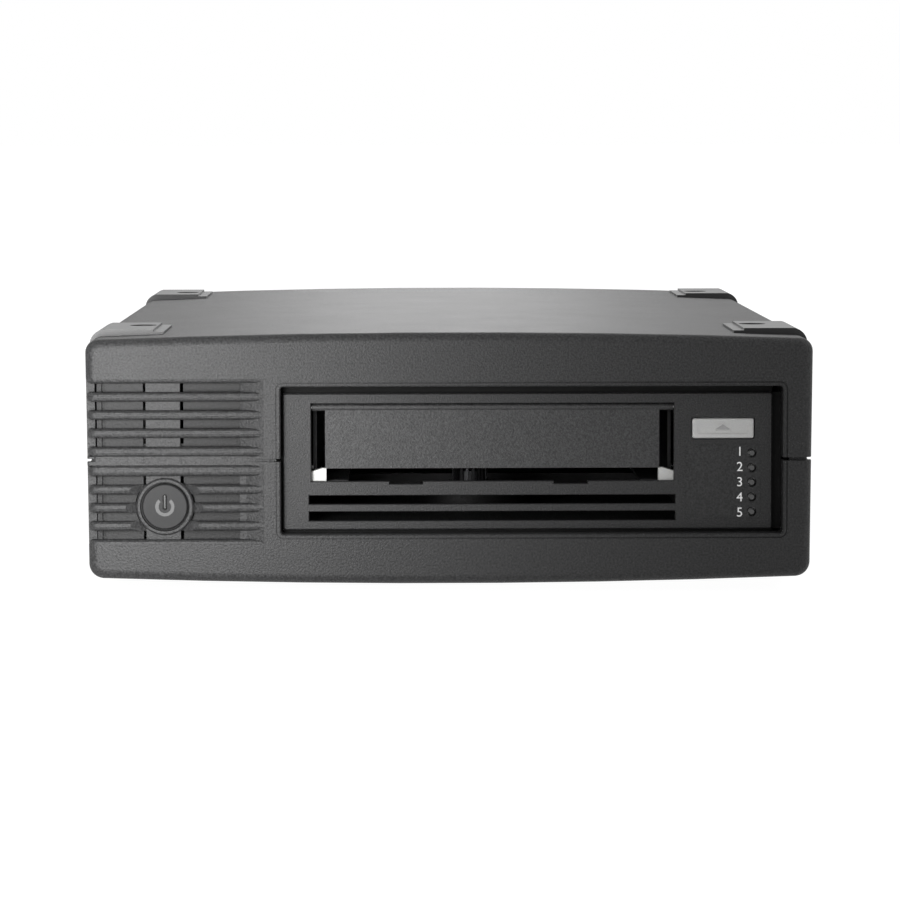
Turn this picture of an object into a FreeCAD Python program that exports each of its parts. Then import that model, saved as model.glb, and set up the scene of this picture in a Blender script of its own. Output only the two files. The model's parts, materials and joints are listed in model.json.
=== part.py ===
import FreeCAD, Part
import math
import os

# External tape drive: a half-height cartridge drive in a two-part plastic case with its own
# power supply and fan. Millimetres. +X is to the right seen from the front, +Y runs from the
# front to the back, +Z is up. The origin is on the ground, under the middle of the case.
# Depths called "s" are measured from the front face towards the back.

V = FreeCAD.Vector

# ---------------------------------------------------------------- case
WIDTH = 219.0            # across the top of the case
DEPTH = 330.0            # front face to rear face
SIDE_LEAN = 0.7          # how far each side leans in between its top and its bottom
SIDE_BOTTOM_Z = 5.1      # underside of the case at its sides
SIDE_TOP_Z = 77.0        # top of the case at its sides
CROWN = 2.05             # bow of the top and of the underside at the middle
SHOULDER_R = 4.0         # round between top and sides
HAUNCH_R = 4.5           # round between sides and underside
END_R = 3.0              # round of the front and rear edges
WALL = 2.5
FRONT_WALL = 3.0
SEAM_Z = 40.2            # top of the lower shell
SEAM_GAP = 1.0
TONGUE_INSET = 1.3       # step of the lower shell that rises inside the upper one
TONGUE_HEIGHT = 2.8
TONGUE_CLEAR = 0.15
NOTCH_R = 0.8            # broken edges of the seam along both sides
NOTCH_S = 5.0            # where they start

# ---------------------------------------------------------------- louvred front corner
SLOT_HEIGHT = 2.6
SLOT_PITCH = 5.5
SLOTS_PER_SHELL = 4
UPPER_SLOT_TOP = 63.9    # top edge of the highest slot
LOWER_SLOT_TOP = 35.9    # top edge of the highest slot below the seam
SEAM_SLOT_Z = (39.2, 41.8)
RIB_DEPTH = 2.5
RIB_NOSE_R = 1.3
NOSE_FACETS = 3          # flats that make up each rounded corner of a nose
RIB_SET_BACK = 0.1       # noses stand this far behind the face, as the mould leaves them
VENT_LEFT_X = -WIDTH / 2 + 2.9    # inner edge of the corner that the slots pass through
VENT_RIGHT_X = -63.2     # where the slot floor starts to rise
RAMP_END_X = -55.9       # where the ramp meets the front face
RAMP_DEPTH = 2.6
SIDE_RUN = 3.5           # how far the slots reach back along the side
COLUMN_X = (-91.4, -81.1)   # solid column behind the ribs that carries the power button
COLUMN_DEPTH = 1.8
BAFFLE_T = 1.5
BAFFLE_DEPTH = 4.7
BAFFLE_SLIT = 0.9        # air slits either side of the column
BAFFLE_LAP = 2.6         # how far the baffles reach past the outermost slots

# ---------------------------------------------------------------- power button
POWER_X = -85.8
POWER_Z = 26.7
POWER_R = 6.9
POWER_BORE_R = 7.5
POWER_BOSS_R = 8.7
POWER_FACET_R = 11.8     # where the rib ends start to slope down to the boss
POWER_FACE_DEPTH = 1.1
POWER_TRAVEL = 2.0
POWER_STEM_R = 3.0
POWER_STEM_END = 14.0
POWER_FLANGE_R = 8.3

# ---------------------------------------------------------------- bay for the drive
BAY_X = (-50.9, 100.4)
BAY_Z = (18.2, 62.75)
BAY_R = 1.0
BAY_WALL = 1.5
BAY_DEPTH = 10.0
LIP_WIDTH = 1.0          # ridge round the bay
LIP_GROOVE = 0.4
LIP_GROOVE_DEPTH = 0.5
LIP_R = 0.35

# ---------------------------------------------------------------- drive
DRIVE_X = (-49.35, 96.65)   # 146 mm wide, a 5.25 inch half-height drive
DRIVE_Z = (19.6, 60.0)
DRIVE_FRONT = 12.0
DRIVE_LENGTH = 200.0
SHEET = 1.5              # chassis walls
LID_T = 1.0

# ---------------------------------------------------------------- drive front
BEZEL_X = (-50.3, 97.6)
BEZEL_Z = (19.1, 60.5)
BEZEL_FACE = 5.0
BEZEL_T = 2.5
BEZEL_RIM = 1.6
BEZEL_R = 0.8
BEZEL_EDGE = 0.2         # broken edges round the mouth and the air slots
MOUTH_X = (-41.8, 67.85)    # cartridge opening
MOUTH_Z = (33.8, 57.4)
MOUTH_NOTCHES_X = ((-18.2, -8.1), (31.5, 41.8))
MOUTH_NOTCH = 0.85
AIR_SLOT_X = (-42.5, 68.3)
AIR_SLOTS_Z = ((26.85, 29.57), (21.8, 24.65))
PANEL_X = (71.3, 94.2)      # bare panel beside the lights
PANEL_Z = (22.0, 45.0)
PANEL_R = 1.6
PANEL_DEPTH = 0.25
LIGHT_X = 91.4
LIGHTS_Z = (42.15, 37.67, 33.25, 28.79, 24.3)
LIGHT_HOLE_R = 1.45
LIGHT_R = 1.15
LIGHT_PROUD = 0.4
EJECT_X = (73.4, 91.9)
EJECT_Z = (46.7, 52.6)
EJECT_CLEAR = 0.4
EJECT_R = 0.55
EJECT_PROUD = 0.3
EJECT_TRAVEL = 1.0
EJECT_DISH = (1.5, 1.3, 0.35)   # margin in x, margin in z, depth of the dished face

# ---------------------------------------------------------------- cartridge door
DOOR_X = (-37.6, 63.5)
DOOR_BOTTOM_Z = 37.65
DOOR_BAND = 1.8          # full-width strip along the hinge
DOOR_T = 1.5
DOOR_DEPTH = 6.8         # its outer face
DOOR_CLEAR = 0.2
DOOR_PIN_R = 0.6
DOOR_PIN_CLEAR = 0.06
DOOR_BARREL_R = 1.15

# ---------------------------------------------------------------- cartridge and loader
CARTRIDGE = (105.4, 102.0, 21.5)
CARTRIDGE_PLAY = 0.6     # room each side of the cartridge
CRADLE_T = 1.0
CRADLE_FLOOR_Z = 33.6
CRADLE_FRONT = 12.5
CRADLE_FLANGES = (10.5, 9.4)    # widths of the left and right floor flanges
CRADLE_BRIDGE = 78.0     # where the floor closes across the middle
CRADLE_DROP = 4.0
PIN_R = 1.2
PIN_CLEAR = 0.2
PINS_S = (28.0, 94.0)
PIN_Z = 36.2
CAM_GAP = 2.0            # between cradle side and cam plate
CAM_T = 1.2
CAM_TRAVEL = 8.0
CAM_FRONT = 21.0
CAM_REAR = 110.0
CAM_Z = (29.4, 39.4)
CAM_BAR_Z = (23.6, 27.2)
CAM_BAR_LENGTH = 5.0
GUIDE_GAP = 1.4          # between cam plate and guide plate
GUIDE_T = 1.2
GUIDE_TOP_Z = 45.0
GUIDE_BLOCK_REACH = (2.4, 1.2)    # white lead-in blocks: past the cartridge's side, past the cradle
GUIDE_BLOCK_Z = (MOUTH_Z[0] - 3.2, DOOR_BOTTOM_Z - 0.05)
GUIDE_BLOCK_SLOPE = 1.2

# ---------------------------------------------------------------- reels, head, rollers
CLUTCH_X = 7.0
CLUTCH_S = 60.0
CLUTCH_CORE_R = 4.7
CLUTCH_R = 5.5
CLUTCH_TEETH = 18
CLUTCH_TOOTH = 0.8
CLUTCH_TOP_Z = 33.2
CLUTCH_TOOTH_LENGTH = 4.0
REEL_MOTOR_R = 18.0
REEL_MOTOR_H = 6.5
REEL_SHAFT_R = 1.45
SHAFT_CLEAR = 0.05
RUN_GAP = 0.3            # between a turning part and what it stands on
TAKE_UP_X = 38.0
TAKE_UP_S = 160.0
TAKE_UP_R = 42.0
TAKE_UP_HUB_R = 20.0
TAKE_UP_FLANGE = 1.0
TAPE_WIDTH_ROOM = 14.0
TAKE_UP_MOTOR_R = 20.0
TAKE_UP_MOTOR_H = 10.0
TAKE_UP_SHAFT_R = 2.45
HEAD_BASE_Z = (28.0, 30.2)
HEAD_BASE_X = -8.0
HEAD_BASE_S = (116.0, 182.0)
ROLLERS = ((-36.0, 123.0), (-24.0, 132.0), (-24.0, 160.0), (-14.0, 173.0))
ROLLER_R = 3.5
ROLLER_RIM_R = 4.5
ROLLER_RIM = 1.0
ROLLER_POST_R = 1.2
HEAD_X = (-27.0, -15.0)
HEAD_S = (142.0, 150.0)
HEAD_HEIGHT = 13.0
HEAD_TRAVEL = 1.2
HEAD_ROD_R = 1.0

# ---------------------------------------------------------------- boards
BOARD_T = 1.6
MAIN_BOARD_Z = 24.0
MAIN_BOARD_S = (112.0, 206.0)
BOARD_EDGE = 0.6         # room between the main board and the chassis walls
BOARD_CHIPS = ((66.0, 150.0, 18.0, 18.0), (66.0, 176.0, 12.0, 10.0),
               (-38.0, 186.0, 20.0, 14.0), (-4.0, 186.0, 10.0, 10.0))   # x, s, width, length
CHIP_T = 1.6
CONNECTOR_X = (12.0, 58.0)
CONNECTOR_HEIGHT = 8.0
CONNECTOR_LAP = 3.0      # how far the connector stands on the board
CONNECTOR_PROUD = 2.0    # how far it comes out of the chassis
FRONT_BOARD_S = 13.0
FRONT_BOARD_X = (75.5, 94.6)
FRONT_CHIP = ((82.0, 90.0), (28.0, 36.0), 1.4)    # x range, z range, thickness

# ---------------------------------------------------------------- tray, supply, rear
TRAY_T = 1.2
TRAY_S = (30.0, 190.0)
TRAY_SIDE_Z = 45.0
TRAY_BOSSES = ((-38.0, 42.0), (86.0, 42.0), (-38.0, 178.0), (86.0, 178.0))
TRAY_SLOTS_S = (70.0, 110.0, 150.0)
TRAY_SLOT = ((-20.0, 67.0), 16.0, 5.0)    # x range, length, corner radius
BOSS_R = 4.0
PANEL_T = 1.2
REAR_FACE = DEPTH - FRONT_WALL   # outer face of the rear panel
SUPPLY_X = (28.0, 100.0)
SUPPLY_S = (DRIVE_FRONT + DRIVE_LENGTH + 10.0, REAR_FACE - 23.0)
SUPPLY_Z = (10.0, 58.0)
SUPPLY_T = 1.0
SUPPLY_FOOT = 8.0        # posts this far in from the supply's corners
SUPPLY_VENTS = 9
SUPPLY_VENT_PITCH = 6.5
SUPPLY_VENT_WIDTH = 3.0
SUPPLY_VENT_Z = (30.0, 50.0)
SUPPLY_TRANSFORMER = (28.0, 24.0, 29.0)    # width, length, height
SUPPLY_CAPACITOR = (8.0, 29.0)             # radius, height
SUPPLY_SINK = (8.0, 27.0)                  # width, height of the heat sink
REAR_OPENING_X = WIDTH / 2 - 11.5
REAR_OPENING_Z = (SIDE_BOTTOM_Z + 5.9, SIDE_TOP_Z - 6.0)
REAR_CORNER_R = 3.0
REAR_MARGIN = 2.0        # how far the rear panel reaches behind the edge of its opening
FAN_X = -58.0
FAN_Z = (REAR_OPENING_Z[0] + REAR_OPENING_Z[1]) / 2
FAN_SIZE = REAR_OPENING_Z[1] - REAR_OPENING_Z[0]    # a 60 mm fan fills the opening's height
FAN_T = 25.0
FAN_BORE_R = FAN_SIZE / 2 - 1.5
FAN_BLADE_R = FAN_BORE_R - 1.0
FAN_HUB_R = 14.0
FAN_HUB_T = 4.0
FAN_BLADES = 7
FAN_BLADE_T = 1.4
FAN_BLADE_TURN = 35.0
FAN_SPOKE = (2.4, 3.0)
FAN_SPOKES = 3
FAN_SHAFT_R = 1.5
FAN_HOLE_PITCH = FAN_SIZE - 10.0
FAN_CORNER_R = 3.0
FAN_FLANGE_T = 4.0
GRILLE_PITCH = 5.0
GRILLE_SLOT = 2.8
GRILLE_BAR = 3.0         # upright bar down the middle of the grille
GRILLE_RIM = 2.0
REAR_VENTS = 12
REAR_VENT_X = 20.0
REAR_VENT_PITCH = 6.0
REAR_VENT_WIDTH = 3.0
REAR_VENT_Z = (REAR_OPENING_Z[1] - 23.0, REAR_OPENING_Z[1] - 7.0)
INLET_X = 60.0
INLET_Z = 28.0
INLET_RECESS = (24.6, 17.0)
INLET_BODY = (28.0, 20.4)
INLET_FLANGE = (50.0, 25.0)
INLET_DEPTH = 17.0
INLET_WALL = 2.0
INLET_BODY_R = 2.0
INLET_RECESS_R = 1.5
INLET_FLANGE_T = 2.0
INLET_FLANGE_R = 4.0
INLET_PIN = (2.0, 4.0)
INLET_PIN_SET_BACK = 3.0
INLET_PINS = ((-7.0, -1.5), (0.0, 2.5), (7.0, -1.5))    # middles of the three pins
PORT_X = 8.0
PORT_Z = 28.0
PORT_SIZE = (24.0, 10.0)
PORT_DEPTH = 14.0
PORT_WALL = 1.5
PORT_PROUD = 1.2
CABLE_R = 3.0
CABLE_BEND = 15.0
CABLE_START_X = 22.0
POWER_CABLE_X = 48.0
POWER_CABLE_R = 2.2

# ---------------------------------------------------------------- pads and feet
PAD_OUTER_X = WIDTH / 2
PAD_LENGTH = 43.0
PAD_SETBACK = 19.0
PAD_RISE = 2.2           # pads over the top edge of the sides
PAD_TOP_Z = SIDE_TOP_Z + PAD_RISE
PAD_STEP = 0.7
PAD_FLAT_X = (WIDTH / 2 - 19.4, WIDTH / 2 - 4.0)
PAD_INNER_X = WIDTH / 2 - 22.5
PAD_SIDE_Z = SIDE_TOP_Z - 2.5
PAD_ROOT = 6.0           # how far the pads reach into the case before it is cut off them
DIMPLE_X = WIDTH / 2 - 14.7
DIMPLE_S = 45.0
DIMPLE_R = 4.2
DIMPLE_DEPTH = 1.0
BASE_PAD_SETBACK = 27.0
BASE_PAD_LENGTH = 35.0
BASE_PAD_Z = SIDE_BOTTOM_Z - 2.7
BASE_SIDE_Z = SIDE_BOTTOM_Z + 8.5
BASE_ROUND_Z = SIDE_BOTTOM_Z + 1.9    # where the base pad starts to curve under
BASE_PAD_LIFT = 0.7      # rise of the base pad's inner edge
FOOT_R = 3.5
FOOT_SOCKET = 1.6

# ---------------------------------------------------------------- screws
SCREW_R = 1.5
SCREW_CLEAR = 0.1
HEAD_R = 2.8
SCREW_HEAD = 1.6
REAR_SCREW_LENGTH = 6.5
FAN_SCREW_LENGTH = 8.0
FAN_SCREW_HEAD_R = 2.6
LID_SCREW_LENGTH = 6.0
LID_SCREW_HEAD_R = 2.4
CASE_SCREW_X = WIDTH / 2 - 7.1
CASE_SCREW_S = 14.0

FRONT = -DEPTH / 2
EPS = 0.01
BIG = 600.0


# ================================================================ helpers
def y_at(depth):
    """Row y of a depth behind the front face."""
    return FRONT + depth


def box(x, s, z):
    """Box from three (low, high) pairs: x, depth behind the front face, z."""
    return Part.makeBox(x[1] - x[0], s[1] - s[0], z[1] - z[0], V(x[0], y_at(s[0]), z[0]))


def rod_y(x, z, r, s):
    """Round bar along Y between two depths."""
    return Part.makeCylinder(r, s[1] - s[0], V(x, y_at(s[0]), z), V(0, 1, 0))


def rod_z(x, s, r, z):
    """Upright round bar."""
    return Part.makeCylinder(r, z[1] - z[0], V(x, y_at(s), z[0]), V(0, 0, 1))


def rod_x(s, z, r, x):
    """Round bar along X."""
    return Part.makeCylinder(r, x[1] - x[0], V(x[0], y_at(s), z), V(1, 0, 0))


def edges_along(solid, direction):
    """Straight edges of a box that run along one direction."""
    return [e for e in solid.Edges
            if abs((e.Vertexes[1].Point - e.Vertexes[0].Point).normalize().dot(direction)) > 0.99]


def rounded(solid, direction, r):
    """Round the edges of a box that run along one direction."""
    return solid.makeFillet(r, edges_along(solid, direction))


def front_edges(solid, depth):
    """Edges that lie in one plane parallel to the front face."""
    return [e for e in solid.Edges if abs(e.BoundBox.YMax - y_at(depth)) < 0.01
            and abs(e.BoundBox.YMin - y_at(depth)) < 0.01]


def slab_y(x, z, s, r):
    """Rectangle with rounded corners in the XZ plane, between two depths."""
    return rounded(box(x, s, z), V(0, 1, 0), r)


def grown(pair, amount):
    return (pair[0] - amount, pair[1] + amount)


def fuse(shapes):
    """One solid from overlapping or touching shapes."""
    first, *rest = shapes
    return first.multiFuse(rest).removeSplitter() if rest else first


def mirrored_x(shape, x=0.0):
    return shape.mirror(V(x, 0, 0), V(1, 0, 0))


def extruded(points, direction):
    """Prism from a closed ring of points."""
    ring = Part.makePolygon(list(points) + [points[0]])
    return Part.Face(ring).extrude(direction)


def plan_prism(points, z):
    """Prism from (x, s) points between two heights."""
    return extruded([V(x, y_at(s), z[0]) for x, s in points], V(0, 0, z[1] - z[0]))


def screw(place, direction, length, head_r=HEAD_R):
    """Pan-head screw; place is the seat of its head."""
    shank = Part.makeCylinder(SCREW_R, length, place, direction)
    flat = SCREW_HEAD * 0.5
    rim = Part.makeCylinder(head_r, flat, place - direction * flat, direction)
    crown = Part.makeCone(head_r - 0.6, head_r, SCREW_HEAD - flat,
                          place - direction * SCREW_HEAD, direction)
    return fuse([shank, rim, crown])


NODES = {}


def node(name, *solids):
    """Keep one sub-part: a solid, or a group of separate solids."""
    NODES[name] = solids[0] if len(solids) == 1 else Part.makeCompound(list(solids))


# ================================================================ case
def half_width(z):
    """Half the width of the case at a height."""
    rise = (SIDE_TOP_Z - z) / (SIDE_TOP_Z - SIDE_BOTTOM_Z)
    return WIDTH / 2 - SIDE_LEAN * rise


def case_form(inset, end_inset):
    """Solid form of the case, drawn in all round by inset and at both ends by end_inset."""
    low, high = SIDE_BOTTOM_Z + inset, SIDE_TOP_Z - inset
    a = V(-half_width(low) + inset, 0, low)
    b = V(half_width(low) - inset, 0, low)
    c = V(half_width(high) - inset, 0, high)
    d = V(-half_width(high) + inset, 0, high)
    section = Part.Wire([
        Part.Arc(a, V(0, 0, low - CROWN), b).toShape(),
        Part.LineSegment(b, c).toShape(),
        Part.Arc(c, V(0, 0, high + CROWN), d).toShape(),
        Part.LineSegment(d, a).toShape()])
    form = Part.Face(section).extrude(V(0, DEPTH - 2 * end_inset, 0))
    form.translate(V(0, FRONT + end_inset, 0))
    for z, r in ((high, SHOULDER_R), (low, HAUNCH_R)):
        edges = [e for e in form.Edges if e.BoundBox.YLength > DEPTH / 2
                 and abs(e.BoundBox.Center.z - z) < 0.01]
        form = form.makeFillet(max(r - inset, 0.8), edges)
    end_r = END_R - max(inset, end_inset)
    if end_r > 0.4:
        ends = [e for e in form.Edges if e.BoundBox.YLength < 0.01]
        form = form.makeFillet(end_r, ends)
    return form


def nose_corner(front, z, inward):
    """Rounded corner of a rib's nose, in straight facets, from its side to its tip."""
    r = RIB_NOSE_R
    points = []
    for i in range(NOSE_FACETS + 1):
        turn = math.radians(90.0 * i / NOSE_FACETS)
        points.append(V(0, front + r * (1 - math.sin(turn)), z + inward * r * (1 - math.cos(turn))))
    return points


def nose_profile(z, round_low, round_high):
    """Section of a louvre rib in the YZ plane: flat back, rounded nose at the front face."""
    back, front = y_at(RIB_DEPTH), y_at(RIB_SET_BACK)
    low = nose_corner(front, z[0], 1) if round_low else [V(0, front, z[0])]
    high = nose_corner(front, z[1], -1) if round_high else [V(0, front, z[1])]
    ring = [V(0, back, z[0])] + low + high[::-1] + [V(0, back, z[1])]
    return Part.Face(Part.makePolygon(ring + [ring[0]]))


def rib(z, round_low=True, round_high=True):
    """One louvre rib that runs along the front, round the corner and a little along the side."""
    section = nose_profile(z, round_low, round_high)
    turn_x = -half_width((z[0] + z[1]) / 2) + END_R
    turn = V(turn_x, y_at(END_R), 0)
    at_corner = section.translated(V(turn_x, 0, 0))
    front_run = at_corner.extrude(V(RAMP_END_X + 1.0 - turn_x, 0, 0))
    corner = at_corner.revolve(turn, V(0, 0, 1), -90)
    side = at_corner.rotated(turn, V(0, 0, 1), -90).extrude(V(0, SIDE_RUN - END_R + 0.3, 0))
    return fuse([front_run, corner, side])


def slot_rows(top):
    """(low, high) of each slot below a top edge."""
    return [(top - i * SLOT_PITCH - SLOT_HEIGHT, top - i * SLOT_PITCH)
            for i in range(SLOTS_PER_SHELL)]


def vent_cut(z, ledge):
    """What is taken out of the corner before the ribs go in, between two heights."""
    outside = -WIDTH
    ring = [(outside, -5.0), (RAMP_END_X, -5.0), (RAMP_END_X, 0.0)]
    if ledge:
        ring += [(VENT_RIGHT_X + 1.9, RAMP_DEPTH * 0.75), (VENT_RIGHT_X, RAMP_DEPTH * 0.75)]
    else:
        ring += [(VENT_RIGHT_X, RAMP_DEPTH)]
    ring += [(VENT_RIGHT_X, SIDE_RUN), (outside, SIDE_RUN)]
    column = box(COLUMN_X, (COLUMN_DEPTH, SIDE_RUN + 1), grown(z, 1.0))
    return plan_prism(ring, z).cut(column)


def power_facets():
    """Cone that slopes the rib ends down to the power button's boss."""
    return Part.makeCone(POWER_FACET_R + 0.8, POWER_BOSS_R - 0.1, COLUMN_DEPTH + 1.0,
                         V(POWER_X, y_at(-0.5), POWER_Z), V(0, 1, 0))


def shell_walls():
    """Both shells in one, with the bay, the louvres and the power button's boss."""
    walls = case_form(0, 0).cut(case_form(WALL, FRONT_WALL))
    collar = slab_y(grown(BAY_X, BAY_WALL), grown(BAY_Z, BAY_WALL), (1.0, BAY_DEPTH),
                    BAY_R + BAY_WALL)
    walls = walls.fuse(collar)
    walls = walls.cut(slab_y(BAY_X, BAY_Z, (-1.0, BAY_DEPTH + 1), BAY_R))
    groove = slab_y(grown(BAY_X, LIP_WIDTH + LIP_GROOVE), grown(BAY_Z, LIP_WIDTH + LIP_GROOVE),
                    (-1.0, LIP_GROOVE_DEPTH), BAY_R + LIP_WIDTH + LIP_GROOVE)
    ridge = slab_y(grown(BAY_X, LIP_WIDTH), grown(BAY_Z, LIP_WIDTH), (-1.5, 1.0),
                   BAY_R + LIP_WIDTH)
    walls = walls.cut(groove.cut(ridge))
    rim = [e for e in walls.Edges if on_bay_rim(e)]
    walls = walls.makeChamfer(LIP_R, rim)

    upper, lower = slot_rows(UPPER_SLOT_TOP), slot_rows(LOWER_SLOT_TOP)
    border = RIB_NOSE_R + 0.2
    upper_span = (SEAM_SLOT_Z[1] - EPS, UPPER_SLOT_TOP + border)
    lower_span = (lower[-1][0] - border, SEAM_SLOT_Z[0])
    walls = walls.cut(vent_cut(upper_span, False))
    walls = walls.cut(vent_cut(lower_span, True))
    seam_row = plan_prism([(-WIDTH, -5.0), (RAMP_END_X, -5.0), (RAMP_END_X, 0.0),
                           (VENT_RIGHT_X + 1.5, TONGUE_INSET), (-WIDTH, TONGUE_INSET)],
                          SEAM_SLOT_Z)
    corner_keep = box((-WIDTH, VENT_LEFT_X - TONGUE_INSET), (TONGUE_INSET * 2, 10), (0, 80))
    walls = walls.cut(seam_row.cut(corner_keep))

    ribs = [rib((upper[0][1], upper_span[1]), True, False)]
    ribs += [rib((upper[i + 1][1], upper[i][0])) for i in range(SLOTS_PER_SHELL - 1)]
    ribs += [rib((SEAM_SLOT_Z[1], upper[-1][0]))]
    ribs += [rib((lower[0][1], SEAM_SLOT_Z[0]))]
    facets = power_facets()
    ribs += [rib((lower[i + 1][1], lower[i][0])).cut(facets) for i in range(SLOTS_PER_SHELL - 1)]
    ribs += [rib((lower_span[0], lower[-1][0]), False, True)]
    walls = walls.multiFuse(ribs)

    boss = rod_y(POWER_X, POWER_Z, POWER_BOSS_R, (POWER_FACE_DEPTH, FRONT_WALL + 0.4))
    boss = boss.makeChamfer(0.5, front_edges(boss, POWER_FACE_DEPTH))
    walls = walls.fuse(boss).cut(rod_y(POWER_X, POWER_Z, POWER_BORE_R, (-1.0, 8.0)))
    return walls


def on_bay_rim(edge):
    """True for the edges round the mouth of the bay in the front face."""
    b = edge.BoundBox
    return (abs(b.YMin - FRONT) < 0.01 and abs(b.YMax - FRONT) < 0.01
            and b.XMin > BAY_X[0] - 0.1 and b.XMax < BAY_X[1] + 0.1
            and b.ZMin > BAY_Z[0] - 0.1 and b.ZMax < BAY_Z[1] + 0.1)


def slab_z(z):
    """Everything between two heights."""
    return box((-BIG, BIG), (-BIG, BIG), z)


def case_screw_places():
    return [(x, s) for x in (-CASE_SCREW_X, CASE_SCREW_X)
            for s in (CASE_SCREW_S, DEPTH - CASE_SCREW_S)]


def rear_screw_places():
    return [(x, z) for x in (-REAR_OPENING_X + 6, REAR_OPENING_X - 6)
            for z in (REAR_OPENING_Z[0] + 6, REAR_OPENING_Z[1] - 6)]


def seam_wedge(z, inward, flip):
    """What breaks a shell's outer edge at the seam, along one side."""
    side = half_width(z)
    edge = z - inward * EPS
    ring = [V(side - NOTCH_R, y_at(NOTCH_S), edge), V(side + 1, y_at(NOTCH_S), edge),
            V(side + 1, y_at(NOTCH_S), z + inward * (NOTCH_R + 1)),
            V(side, y_at(NOTCH_S), z + inward * NOTCH_R)]
    wedge = extruded(ring, V(0, DEPTH - 2 * NOTCH_S, 0))
    return mirrored_x(wedge) if flip else wedge


def make_case():
    walls = shell_walls()
    rear = slab_y((-REAR_OPENING_X, REAR_OPENING_X), REAR_OPENING_Z,
                  (DEPTH - WALL - 5, DEPTH + 1), 3.0)
    walls = walls.cut(rear)
    cavity = case_form(WALL, FRONT_WALL)
    tongue_top = SEAM_Z + TONGUE_HEIGHT
    tongue = case_form(TONGUE_INSET, TONGUE_INSET).cut(cavity)
    tongue = tongue.common(slab_z((SEAM_Z - 0.5, tongue_top)))
    tongue = tongue.cut(box(grown(BAY_X, BAY_WALL + 0.5), (-1, BAY_DEPTH + 1), (0, 80)))
    tongue = tongue.cut(rear)
    grooves = [box((x - 0.3, x + 0.3), (0, TONGUE_INSET + 0.4), (SEAM_Z - 0.4, 60))
               for x in (COLUMN_X[0] - 0.5, COLUMN_X[1] + 0.5)]
    lower = walls.common(slab_z((-1, SEAM_Z))).fuse(tongue).cut(grooves[0]).cut(grooves[1])
    rebate_inset = TONGUE_INSET - TONGUE_CLEAR
    rebate = case_form(rebate_inset, rebate_inset)
    rebate = rebate.common(slab_z((0, tongue_top + TONGUE_CLEAR)))
    rebate = rebate.cut(box(grown(BAY_X, BAY_WALL), (-1, BAY_DEPTH), (0, 80)))
    upper = walls.common(slab_z((SEAM_Z + SEAM_GAP, 90))).cut(rebate)
    for flip in (False, True):
        lower = lower.cut(seam_wedge(SEAM_Z, -1, flip))
        upper = upper.cut(seam_wedge(SEAM_Z + SEAM_GAP, 1, flip))

    inside = case_form(WALL / 2, FRONT_WALL / 2)
    low_posts, high_posts = [], []
    for x, s in case_screw_places():
        low_posts.append(rod_z(x, s, BOSS_R, (0, SEAM_Z)))
        high_posts.append(rod_z(x, s, BOSS_R, (SEAM_Z + RUN_GAP, 90)))
    for x, s in TRAY_BOSSES:
        low_posts.append(rod_z(x, s, BOSS_R, (0, DRIVE_Z[0] - TRAY_T)))
    for x in (SUPPLY_X[0] + 8, SUPPLY_X[1] - 8):
        for s in (SUPPLY_S[0] + 8, SUPPLY_S[1] - 8):
            low_posts.append(rod_z(x, s, BOSS_R, (0, SUPPLY_Z[0])))
    panel_front = REAR_FACE - PANEL_T
    for x, z in rear_screw_places():
        side = x + math.copysign(BOSS_R + 4, x)
        lug = box(sorted_pair(x - math.copysign(BOSS_R, x), side + math.copysign(8, x)),
                  (panel_front - 8, panel_front), (z - BOSS_R, z + BOSS_R))
        (low_posts if z < SEAM_Z else high_posts).append(lug)
    low_posts.append(box((POWER_X - 9, POWER_X + 9), (20, 27), (0, 12.0)))
    lower = lower.multiFuse([p.common(inside) for p in low_posts])
    upper = upper.multiFuse([p.common(inside) for p in high_posts])
    for x, s in case_screw_places():
        lower = lower.cut(rod_z(x, s, SCREW_R + SCREW_CLEAR, (0, 80)))
        lower = lower.cut(rod_z(x, s, HEAD_R + 0.4, (0, CASE_SCREW_SEAT_Z)))
        upper = upper.cut(rod_z(x, s, SCREW_R, (0, CASE_SCREW_TIP_Z)))
    for x, z in rear_screw_places():
        hole = rod_y(x, z, SCREW_R, (panel_front - 6.5, DEPTH))
        if z < SEAM_Z:
            lower = lower.cut(hole)
        else:
            upper = upper.cut(hole)
    node("upper_shell", upper.removeSplitter())
    node("lower_shell", lower.removeSplitter())
    screws = [screw(V(x, y_at(s), CASE_SCREW_SEAT_Z), V(0, 0, 1),
                    CASE_SCREW_TIP_Z - CASE_SCREW_SEAT_Z) for x, s in case_screw_places()]
    node("case_screws", *screws)


CASE_SCREW_SEAT_Z = SIDE_BOTTOM_Z + 4.0
CASE_SCREW_TIP_Z = SEAM_Z + 12.0


def sorted_pair(a, b):
    return (min(a, b), max(a, b))


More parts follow.
